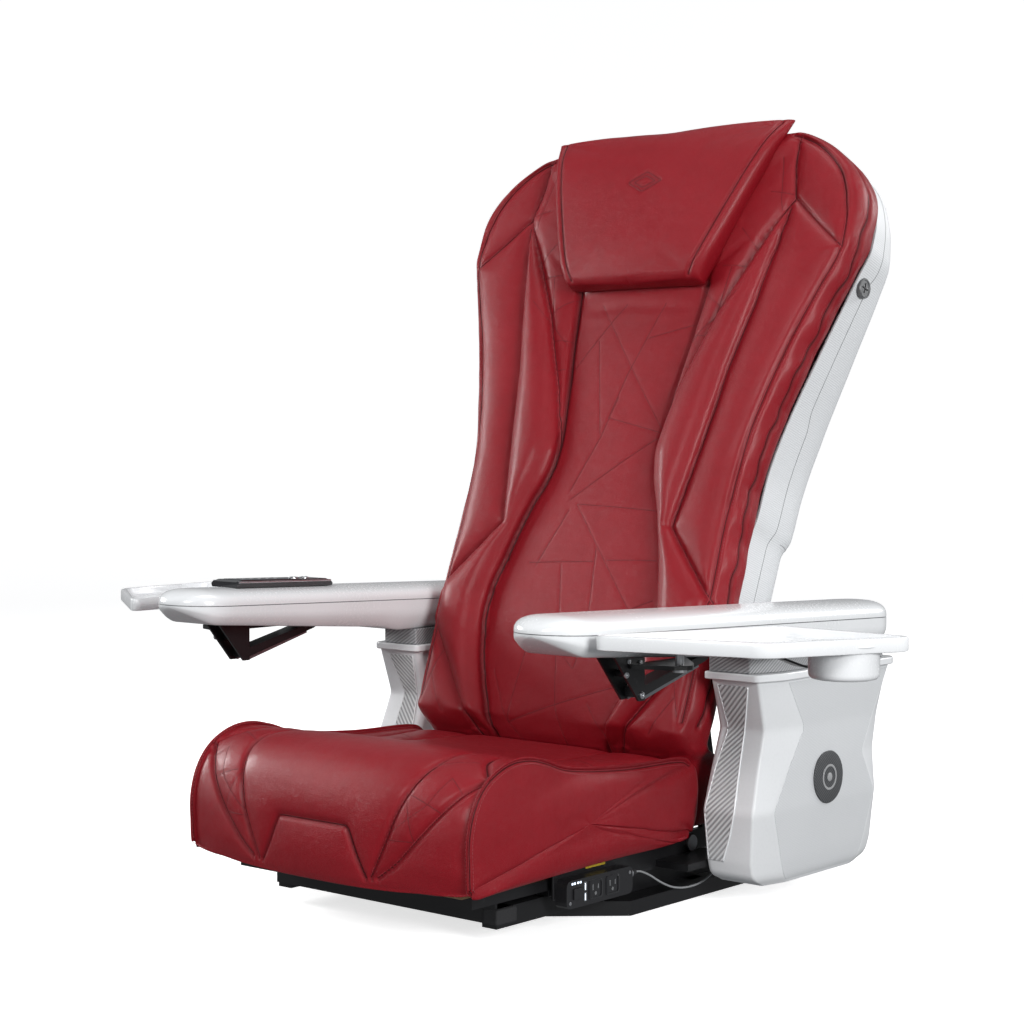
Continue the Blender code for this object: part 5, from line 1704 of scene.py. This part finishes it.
@dataclass
class Armrest:
    """An armrest: a lower shell, a pad above a dark seam, and what holds the tray."""

    side: Side
    middle: float = 0.365
    half: float = 0.065
    pin_y: float = 0.295
    nose_y: float = -0.490
    nose: float = 0.085
    pad_height: float = 0.0245
    chamfer: float = 0.015

    @property
    def body(self) -> str:
        """The body that the arm is."""
        return "arm_" + self.side.word

    def stations(self) -> Array:
        """Places along the arm, crowded at its ends."""
        ease_in = 1.0 - np.cos(np.linspace(0.02, 1.0, 26) * math.pi / 2)
        ease_out = np.sin(np.linspace(0.0, 0.995, 26) * math.pi / 2)
        return np.concatenate([self.nose_y + self.nose * ease_in, np.linspace(-0.400, 0.290, 80),
                               self.pin_y + self.half * ease_out])

    def plan(self, y: Array) -> Array:
        """Half width: a blunt oval nose, straight sides and a round tail about the pin."""
        f = np.clip(1.0 - (y - self.nose_y) / self.nose, 0.0, 1.0)
        tail = np.clip(y - self.pin_y, 0.0, self.half)
        return np.where(tail > 0.0, np.sqrt(self.half ** 2 - tail ** 2), self.half * np.sqrt(1.0 - f ** 2.6))

    def under(self, y: Array) -> Array:
        """Height of the underside: a raised nose, a long slope and a flat boss over the post."""
        return bent_table(y, (-0.490, -0.440, -0.070, -0.030, 0.4), (0.438, 0.422, 0.394, 0.3858, 0.3858), 0.008)

    def place(self, x: Array, y: Array, z: Array) -> Array:
        """Points of the arm from distances off its own middle."""
        x, y, z = np.broadcast_arrays(x, y, z)
        return np.stack([self.side.value * self.middle + x, y, z], -1)

    def ends(self, y: Array, nose: float, tail: float) -> Array:
        """A factor that rounds the arm off in side view: a quarter circle over each end."""
        first = np.clip((y - self.nose_y) / nose, 0.0, 1.0)
        last = np.clip((self.pin_y + self.half - y) / tail, 0.0, 1.0)
        return np.sqrt(1.0 - (1.0 - first) ** 2) * np.sqrt(1.0 - (1.0 - last) ** 2)

    def pad(self) -> bpy.types.Object:
        """The pad: a rounded-box section whose exponent is 2.8, flat below."""
        y = self.stations()
        half = np.maximum(self.plan(y), 0.0015)[:, None]
        angle = np.linspace(0.0, math.pi, 61)[None]
        power = 2.0 / 2.8
        x = half * np.sign(np.cos(angle)) * np.abs(np.cos(angle)) ** power
        rise = self.pad_height * self.ends(y, 0.050, 0.030)[:, None] * np.abs(np.sin(angle)) ** power
        z = seam_height(y)[:, None] + 0.0007 + rise
        obj = Surface().grid(self.place(x, y[:, None], z), loop=True, caps=True).build("pad_" + self.side.word, 50.0)
        return dress(obj, Finish.WHITE, self.body, "white_plastic", ["arm_pad_" + self.side.word])

    def lower(self) -> bpy.types.Object:
        """The lower shell: upright walls, a broad chamfer and a flat underside."""
        y = self.stations()
        half = np.maximum(self.plan(y), 0.0015)[:, None]
        deep = (seam_height(y) - self.under(y))[:, None] * self.ends(y, 0.055, 0.035)[:, None]
        inset = np.array([0.0000, 0.0000, 0.0004, 0.0022, 0.0070, 0.0115, 0.0150, 0.0175])[None]
        drop = np.array([0.0, 0.30, 0.46, 0.60, 0.80, 0.94, 0.99, 1.0])[None]
        wall_x = half - np.minimum(inset, half * 0.9) * np.minimum(half / self.half + 0.35, 1.0)
        flat = np.linspace(1.0, -1.0, 9)[None, 1:-1] * wall_x[:, -1:]
        x = np.concatenate([wall_x, flat, -wall_x[:, ::-1]], axis=1)
        z = seam_height(y)[:, None] - 0.0007 - deep * np.concatenate([drop, np.ones((1, 7)), drop[:, ::-1]], axis=1)
        obj = Surface().grid(self.place(x, y[:, None], z), loop=True, caps=True).build("under_" + self.side.word, 40.0)
        return dress(obj, Finish.WHITE, self.body, "white_plastic", ["arm_lower_" + self.side.word])

    def gasket(self) -> bpy.types.Object:
        """The dark strip in the seam, set 1.2 mm back from both shells."""
        y = self.stations()
        half = np.maximum(self.plan(y) - 0.0012, 0.0008)[:, None]
        corners = np.array([(-1.0, -0.0010), (1.0, -0.0010), (1.0, 0.0010), (-1.0, 0.0010)])
        x, z = half * corners[None, :, 0], seam_height(y)[:, None] + corners[None, :, 1]
        keep = (y > self.nose_y + 0.0012) & (y < self.pin_y + self.half - 0.0012)
        points = self.place(x, y[:, None], z)[keep]
        obj = Surface().grid(points, loop=True, caps=True).build("seam_" + self.side.word)
        return dress(obj, Finish.LINE, self.body, "dark_plastic")

    def fasteners(self) -> bpy.types.Object:
        """Bright screws in the bracket's outer plate, the cross rod and the pivot head."""
        sign = self.side.value
        surface = Surface()
        plate_x = 0.4158
        for y, z, r in ((-0.343, 0.4085, 0.0032), (-0.3480, 0.3905, 0.0044), (-0.3175, 0.4060, 0.0030),
                        (-0.3130, 0.3600, 0.0050)):
            head = [(r * 0.9, -0.0012), (r, 0.0), (r, 0.0012), (r * 0.82, 0.0022), (r * 0.45, 0.0024),
                    (r * 0.36, 0.0012), (0.0, 0.0012)]
            surface.turned(head, (sign * plate_x, y, z), (sign, 0.0, 0.0), 24)
        surface.turned([(0.0032, 0.0), (0.0032, 0.0250)], (sign * 0.3870, -0.330, 0.3900), (sign, 0.0, 0.0), 24)
        return dress(surface.build("bracket_screws_" + self.side.word), Finish.BRIGHT, self.body, "bright_steel")

    def strut(self) -> bpy.types.Object:
        """A pressed rail on the strut's underside with its round slots as dark sunk discs, painted shade in the holes.
        """
        sign = self.side.value
        surface, hole_shade = Surface(), Surface()
        start, end = np.array([-0.3085, 0.3560]), np.array([-0.176, 0.3915])
        along = unit(end - start)
        below = np.array([along[1], -along[0]])
        for x0, x1, top, bottom in ((0.3850, 0.3880, 0.0, 0.0045), (0.4095, 0.4125, 0.0, 0.0045),
                                    (0.3880, 0.4095, 0.0002, 0.0012)):
            corners = [start + below * top, end + below * top, end + below * bottom, start + below * bottom]
            surface.prism(np.array(corners), sorted((sign * x0, sign * x1)), axis=0)
        # dark discs where the holes are: painted shade
        for number in range(7):
            centre = start + along * (0.014 + 0.018 * number) + below * 0.0014
            place = (sign * 0.39875, centre[0], centre[1])
            hole_shade.turned([(0.0034, -0.0004), (0.0034, 0.0004)], place, (0.0, below[0], below[1]), 20)
        dress(hole_shade.build("strut_holes_" + self.side.word), Finish.DARK, self.body, "black_steel")
        return dress(surface.build("strut_rail_" + self.side.word), Finish.GALVANISED, self.body, "bright_steel")

    def build(self) -> None:
        """Every piece of the arm."""
        self.pad()
        self.lower()
        self.gasket()
        self.fasteners()
        self.strut()


@dataclass
class Tray:
    """A swivelling tray: a rimmed plate and a cup holder."""

    side: Side
    turn: float
    pin: tuple[float, float] = (0.470, -0.300)
    levels: tuple[float, float] = (0.434, 0.454)
    cup: tuple[float, float] = (0.655, -0.165)
    cup_radius: float = 0.047
    rim: float = 0.0085
    floor: float = 0.0065

    CORNERS = np.array([(0.494, -0.457), (0.697, -0.316), (0.710, -0.091), (0.4976, -0.151)])

    def place(self, flat: Any) -> Array:
        """Flat points turned about the pin and put on this side."""
        flat = np.atleast_2d(np.asarray(flat, float)) - self.pin
        c, s = math.cos(-self.turn), math.sin(-self.turn)
        x = self.pin[0] + c * flat[:, 0] - s * flat[:, 1]
        return np.column_stack([self.side.value * x, self.pin[1] + s * flat[:, 0] + c * flat[:, 1]])

    def outline(self, inset: float, radius: float) -> Array:
        """The four-sided outline with round corners, moved inwards."""
        centre = self.CORNERS.mean(0)
        away = self.CORNERS - centre
        length = np.linalg.norm(away, axis=1, keepdims=True)
        return self.place(rounded(centre + away * (1.0 - inset / (length * 0.72)), radius, 10))

    def plate(self) -> bpy.types.Object:
        """The plate: rings of the outline from the underside over the rim to the sunk floor."""
        low, high = self.levels
        rings = ((0.0030, low), (0.0008, low + 0.0007), (0.0, low + 0.0028), (0.0, high - 0.0028),
                 (0.0008, high - 0.0008), (0.0028, high), (self.rim - 0.0020, high), (self.rim - 0.0006, high - 0.0006),
                 (self.rim, high - 0.0022), (self.rim + 0.0012, low + self.floor + 0.0030),
                 (self.rim + 0.0030, low + self.floor + 0.0008), (self.rim + 0.0056, low + self.floor + 0.0001),
                 (self.rim + 0.0066, low + self.floor), (self.rim + 0.0080, low + self.floor))
        points = []
        for inset, z in rings:
            flat = self.outline(inset, 0.022 - inset * 0.4)
            points.append(np.column_stack([flat, np.full(len(flat), z)]))
        obj = Surface().grid(np.stack(points), loop=True, caps=True).build("tray_plate_" + self.side.word, 40.0)
        x, y = self.place(self.cup)[0]
        hole = Surface().turned([(self.cup_radius, 0.0), (self.cup_radius, 0.040)], (x, y, low - 0.01), UPWARD, 96)
        carve(obj, hole, 40.0)
        return dress(obj, Finish.WHITE, "tray_" + self.side.word, "white_plastic", ["tray_" + self.side.word])

    def holder(self) -> bpy.types.Object:
        """The cup holder: a turned cup with a rolled lip that laps the tray's floor."""
        x, y = self.place(self.cup)[0]
        low, r = self.levels[0] - 0.037, self.cup_radius - 0.0003
        lip = self.levels[0] + self.floor + 0.0008 - low
        profile = [(0.0, 0.0), (r - 0.0080, 0.0), (r - 0.0035, 0.0012), (r - 0.0008, 0.0045), (r, 0.0085), (r, lip),
                   (r + 0.0050, lip), (r + 0.0058, lip + 0.0012), (r + 0.0050, lip + 0.0026), (r, lip + 0.0036),
                   (r - 0.0030, lip + 0.0026), (r - 0.0040, lip), (r - 0.0044, 0.0100), (r - 0.0090, 0.0050),
                   (0.0, 0.0046)]
        obj = Surface().turned(profile, (x, y, low), UPWARD, 96).build("cup_" + self.side.word, 40.0)
        return dress(obj, Finish.WHITE, "tray_" + self.side.word, "white_plastic", ["cup_holder_" + self.side.word])

    def build(self) -> None:
        """Both pieces."""
        self.plate()
        self.holder()


@dataclass
class PowerStrip:
    """The power strip's sockets, ports and lamps, its bracket's blank label and the cable."""

    face: float = 0.2700
    sockets: tuple[float, float] = (-0.230, -0.190)
    socket_z: float = 0.0590
    radius: float = 0.0016
    route: tuple[tuple[float, float, float], ...] = (
        (0.2620, -0.1257, 0.0660), (0.2622, -0.1120, 0.0645), (0.2630, -0.0900, 0.0555), (0.2645, -0.0600, 0.0390),
        (0.2660, -0.0300, 0.0275), (0.2675, 0.0050, 0.0230), (0.2690, 0.0400, 0.0265), (0.2700, 0.0700, 0.0390),
        (0.2705, 0.0920, 0.0560), (0.2710, 0.1080, 0.0800), (0.2790, 0.1160, 0.0980), (0.2930, 0.1190, 0.1060),
        (0.3015, 0.1195, 0.1070))

    def cable(self) -> None:
        """The thin cable that sags from the jack to the post, on a curve through its route's points."""
        knots = np.array(self.route)
        line = catmull(knots, np.linspace(0.0, len(knots) - 1.0, 5 * (len(knots) - 1) + 1))
        line[0], line[-1] = knots[0], knots[-1]
        obj = Surface().tube(line, self.radius, 14).build("cable_run", 60.0)
        dress(obj, Finish.CABLE, "seat", "cable_grey", ["strip_cable"])
        tuple(line[0])
        [tuple(p) for p in line]

    def plate(self, y: float, z: float, wide: float, tall: float, radius: float) -> Array:
        """A rounded outline in the strip's face."""
        a, b = wide / 2, tall / 2
        return rounded([(y - a, z - b), (y + a, z - b), (y + a, z + b), (y - a, z + b)], radius, 5)

    def fittings(self) -> None:
        """Two sockets with slots, two ports, four lamps and a collar on the jack."""
        bezels, slot_shade, metal, lamps_and_glowing_tongues = Surface(), Surface(), Surface(), Surface()
        for y in self.sockets:
            outer = self.plate(y, self.socket_z, 0.031, 0.028, 0.004)
            inner = self.plate(y, self.socket_z, 0.026, 0.023, 0.0035)
            rings = [np.insert(flat, 0, self.face + lift, axis=1)
                     for flat, lift in ((outer, 0.0), (outer, 0.0010), (inner, 0.0016), (inner, 0.0004))]
            bezels.grid(np.stack(rings), loop=True, caps=True)
            # the dark slot shapes and the round earth hole stand for the socket openings: painted shade
            for dy, dz, wide, tall in ((-0.0062, 0.0032, 0.0022, 0.0085), (0.0062, 0.0032, 0.0022, 0.0070)):
                slot_shade.prism(self.plate(y + dy, self.socket_z + dz, wide, tall, 0.0006),
                            (self.face + 0.0003, self.face + 0.0007), 0)
                metal.prism(self.plate(y + dy, self.socket_z + dz, wide * 0.35, tall * 0.7, 0.0002),
                            (self.face + 0.0007, self.face + 0.0008), 0)
            slot_shade.turned([(0.0026, 0.0003), (0.0026, 0.0007)], (self.face, y, self.socket_z - 0.0062), ACROSS, 20)
        for z in (0.0515, 0.0665):
            metal.prism(self.plate(-0.2540, z, 0.0058, 0.0125, 0.0008), (self.face, self.face + 0.0007), 0)
            # the port's dark inside is painted shade
            slot_shade.prism(self.plate(-0.2540, z, 0.0044, 0.0110, 0.0005), (self.face + 0.0007, self.face + 0.0010), 0)
            # the port's tongue glows in the lamp finish though it is no lamp: painted light
            lamps_and_glowing_tongues.prism(self.plate(-0.2546, z, 0.0016, 0.0095, 0.0003), (self.face + 0.0010, self.face + 0.0013), 0)
        for y in (-0.2830, -0.2775, -0.2700, -0.2645):
            lamps_and_glowing_tongues.prism(self.plate(y, 0.0742, 0.0034, 0.0030, 0.0007), (self.face - 0.0004, self.face + 0.0004), 0)
        metal.turned([(0.0050, -0.0005), (0.0072, -0.0005), (0.0072, 0.0025), (0.0052, 0.0032)],
                     (0.262, -0.1400, 0.066), (0.0, 1.0, 0.0), 24)
        for y, z in ((-0.2880, 0.0465), (-0.1480, 0.0700)):
            metal.turned([(0.0026, -0.0002), (0.0026, 0.0006), (0.0016, 0.0010), (0.0, 0.0010)], (self.face, y, z),
                         ACROSS, 20)
        for surface, name, kind, slot in ((bezels, "socket_bezels", Finish.GLOSS, "dark_plastic"),
                                          (slot_shade, "socket_slots", Finish.LINE, "dark_plastic"),
                                          (metal, "strip_metal", Finish.BRIGHT, "bright_steel"),
                                          (lamps_and_glowing_tongues, "strip_lamps", Finish.LAMP, "white_plastic")):
            dress(surface.build(name), kind, "seat", slot)
        label = Surface().prism(self.plate(-0.2030, 0.0897, 0.0460, 0.0105, 0.0012), (0.2482, 0.2488), 0)
        dress(label.build("blank_label"), Finish.LABEL, "seat", "white_plastic")

    def bumpers(self) -> None:
        """Rubber stops on the seat's frame and on the base."""
        for name, low, high, body in (("front", (0.200, -0.4000, 0.0270), (0.2290, -0.3550, 0.0500), "seat"),
                                      ("rear", (0.2180, 0.0500, 0.0), (0.2420, 0.0900, 0.0220), "base")):
            obj = Surface().box(low, high).build("stop_" + name)
            soften(obj, 0.004, 4)
            dress(obj, Finish.RUBBER, body, "jack_rubber")

    def build(self) -> None:
        """Every piece."""
        self.cable()
        self.fittings()
        self.bumpers()


@dataclass
class Remote:
    """The remote's glass, trims and ring, which lie on the right armrest's remote."""

    middle: float = -0.365
    ends: tuple[float, float] = (-0.375, -0.165)

    def top(self, y: Any) -> Any:
        """Height of the remote's upper face."""
        return seam_height(y) + 0.0375

    def build(self) -> None:
        """A glass panel, two bright trims, a ring round each key and a row of marks."""
        y = np.linspace(self.ends[0] + 0.018, self.ends[1] - 0.085, 30)
        across = np.array([-0.0215, -0.0205, 0.0205, 0.0215])
        lift = np.array([0.0, 0.0006, 0.0006, 0.0])
        face = np.stack([self.middle + across[None] + 0.0 * y[:, None], y[:, None] + 0.0 * across[None],
                         self.top(y)[:, None] + lift[None]], -1)
        glass = Surface().grid(face, loop=True, caps=True).build("remote_glass")
        dress(glass, Finish.SCREEN, "arm_right", "dark_plastic")
        trims, marks = Surface(), Surface()
        run = np.linspace(self.ends[0] + 0.004, self.ends[1] - 0.004, 40)
        for edge in (-0.0298, 0.0298):
            trims.tube(np.column_stack([self.middle + edge + 0.0 * run, run, self.top(run) - 0.0034]), 0.0018, 10)
        for key in (-0.225, -0.200):
            trims.turned([(0.0072, -0.0002), (0.0072, 0.0006), (0.0080, 0.0009), (0.0088, 0.0006), (0.0088, -0.0002)],
                         (self.middle, key, self.top(key)), UPWARD, 40)
        for number in range(5):
            spot = -0.345 + 0.018 * number
            for across in (-0.008, 0.008):
                marks.turned([(0.0030, 0.0004), (0.0030, 0.0008), (0.0, 0.0009)],
                             (self.middle + across, spot, self.top(spot)), UPWARD, 20)
        dress(trims.build("remote_trims"), Finish.BRIGHT, "arm_right", "bright_steel")
        dress(marks.build("remote_marks"), Finish.RING, "arm_right", "dark_plastic")


def paddle(side: Side, turn: float) -> None:
    """The finger paddle on a tray's locking lever: a plate that drops 16 mm and flares outwards."""
    tray = Tray(side, turn)
    share = np.linspace(0.0, 1.0, 24)
    y = -0.205 + 0.075 * share
    x = 0.540 + 0.030 * share
    half = 0.0085 + 0.0075 * ease(share * 1.1) - 0.006 * ease((share - 0.85) / 0.15)
    z = 0.4192 - 0.016 * ease(share * 1.4)
    profile = np.array([(-1.0, 0.0), (-0.9, 0.0010), (0.9, 0.0010), (1.0, 0.0), (0.9, -0.0022), (-0.9, -0.0022)])
    flat = np.stack([x[:, None] + half[:, None] * profile[None, :, 0], y[:, None] + 0.0 * profile[None, :, 0]], -1)
    laid = tray.place(flat.reshape(-1, 2)).reshape(24, 6, 2)
    points = np.concatenate([laid, (z[:, None] + profile[None, :, 1])[..., None]], -1)
    obj = Surface().grid(points, loop=True, caps=True).build("lever_paddle_" + side.word)
    dress(obj, Finish.PAINT, "lever_" + side.word, "black_steel")


# ---------------------------------------------------------------- scene
@dataclass
class Studio:
    """The floor, the soft lights and the camera."""

    eye: tuple[float, float, float] = (2.142, -2.607, 0.7165)
    target: tuple[float, float, float] = (0.0, -0.10, 0.595)
    lens: float = 73.9
    radius: float = 9.0
    height: float = 6.0

    def build(self) -> None:
        """Make everything that isn't the chair."""
        self.floor()
        scene = bpy.context.scene
        scene.view_settings.view_transform = "Standard"
        world = bpy.data.worlds.new("studio")
        scene.world = world
        world.use_nodes = True
        world.node_tree.nodes["Background"].inputs["Color"].default_value = (0.95, 0.97, 1.0, 1.0)
        world.node_tree.nodes["Background"].inputs["Strength"].default_value = 0.22
        for name, at, power, size in (("left", (-3.5, -0.9, 1.5), 84.0, 1.1), ("front", (0.5, -4.0, 2.3), 86.0, 1.3),
                                      ("right", (3.4, -1.2, 1.3), 96.0, 1.2), ("top", (0.0, 0.3, 4.0), 42.0, 1.8),
                                      ("rear", (1.8, 3.3, 2.2), 75.0, 1.6)):
            self.light(name, at, power, size)
        data = bpy.data.cameras.new("camera")
        data.lens = self.lens
        data.sensor_width = 36.0
        camera = bpy.data.objects.new("camera", data)
        scene.collection.objects.link(camera)
        camera.location = self.eye
        camera.rotation_euler = (Vector(self.target) - Vector(self.eye)).to_track_quat("-Z", "Y").to_euler()
        scene.camera = camera

    def floor(self) -> None:
        """A round floor that curves up into a wall: a quarter circle between disc and wall."""
        bend = 3.0
        flat = np.linspace(0.0, self.radius - bend, 12)
        angle = np.linspace(0.0, math.pi / 2, 16)[1:]
        radii = np.concatenate([flat, self.radius - bend + bend * np.sin(angle), [self.radius]])
        levels = np.concatenate([0.0 * flat, bend * (1.0 - np.cos(angle)), [self.height]]) - 0.0004
        turn = np.linspace(0.0, 2.0 * math.pi, 96, endpoint=False)
        radii[0] = 0.001
        points = np.stack([radii[:, None] * np.cos(turn), radii[:, None] * np.sin(turn),
                           levels[:, None] + 0.0 * turn], -1)
        floor = Surface().grid(points, loop=True).build("floor", 180.0, outward=False)
        floor.data.materials.append(finish_of(Finish.FLOOR))
        floor.visible_diffuse = False
        floor.visible_glossy = False

    def light(self, name: str, at: tuple[float, float, float], power: float, size: float) -> None:
        """One square soft light that looks at the chair.

        Args:
            name: Its name.
            at: Where it stands.
            power: Its power in watts.
            size: Its side in metres.
        """
        data = bpy.data.lights.new(name, "AREA")
        data.energy = power
        data.size = size
        lamp = bpy.data.objects.new(name, data)
        bpy.context.scene.collection.objects.link(lamp)
        lamp.location = at
        lamp.rotation_euler = (Vector((0.0, 0.0, 0.55)) - Vector(at)).to_track_quat("-Z", "Y").to_euler()


NODE_FINISHES: dict[Finish, tuple[str, ...]] = {
    Finish.LEATHER: ("seat_cushion", "back_cushion", "head_pillow"),
    Finish.SATIN: ("post_left", "post_right", "back_shell"),
    Finish.WHITE: ("arm_lower_left", "arm_lower_right", "arm_pad_left", "arm_pad_right", "tray_left", "tray_right",
                   "cup_holder_left", "cup_holder_right"),
    Finish.RIB: ("post_insert_left", "post_insert_right"),
    Finish.NECK: ("neck_left", "neck_right"),
    Finish.BADGE: ("post_badge_left", "post_badge_right"),
    Finish.PAINT: ("base_frame", "seat_frame", "strip_bracket", "tray_bracket_left", "tray_bracket_right",
                   "tray_carrier_left", "tray_carrier_right", "tray_lever_left", "tray_lever_right", "back_frame",
                   "actuator_tube"),
    Finish.DARK: ("slide_motor", "control_box", "runner_left", "runner_right", "power_strip", "power_button",
                  "massage_motor", "massage_carriage", "massage_disc_left", "massage_disc_right"),
    Finish.GLOSS: ("remote_body",),
    Finish.BRIGHT: ("slide_screw", "slide_nut", "hinge_pin_left", "hinge_pin_right", "actuator_pin", "clevis_pin",
                    "massage_screw", "massage_track", "actuator_rod", "arm_pin_left", "arm_pin_right",
                    "tray_pin_left", "tray_pin_right", "remote_key_1", "remote_key_2"),
    Finish.RUBBER: ("cable_jack",),
    Finish.CABLE: ("strip_cable",),
    Finish.PLYWOOD: ("seat_board",),
}


def dress_nodes() -> None:
    """Give every carried-over solid its finish."""
    for kind, names in NODE_FINISHES.items():
        for name in names:
            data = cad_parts[name].data
            data.materials.clear()
            data.materials.append(finish_of(kind))


def main() -> None:
    """Build the studio and the chair, piece by piece."""
    logging.basicConfig(level=logging.INFO, format="%(message)s")
    Studio().build()
    dress_nodes()
    BackCushion().build()
    Pillow().build()
    SeatCushion().build()
    BackShell().build()
    for side in Side:
        Post(side).build()
        Armrest(side).build()
        turn = math.radians(21.0) if side is Side.LEFT else 0.0
        Tray(side, turn).build()
        paddle(side, turn)
    PowerStrip().build()
    Remote().build()


if __name__ == "__main__":
    main()
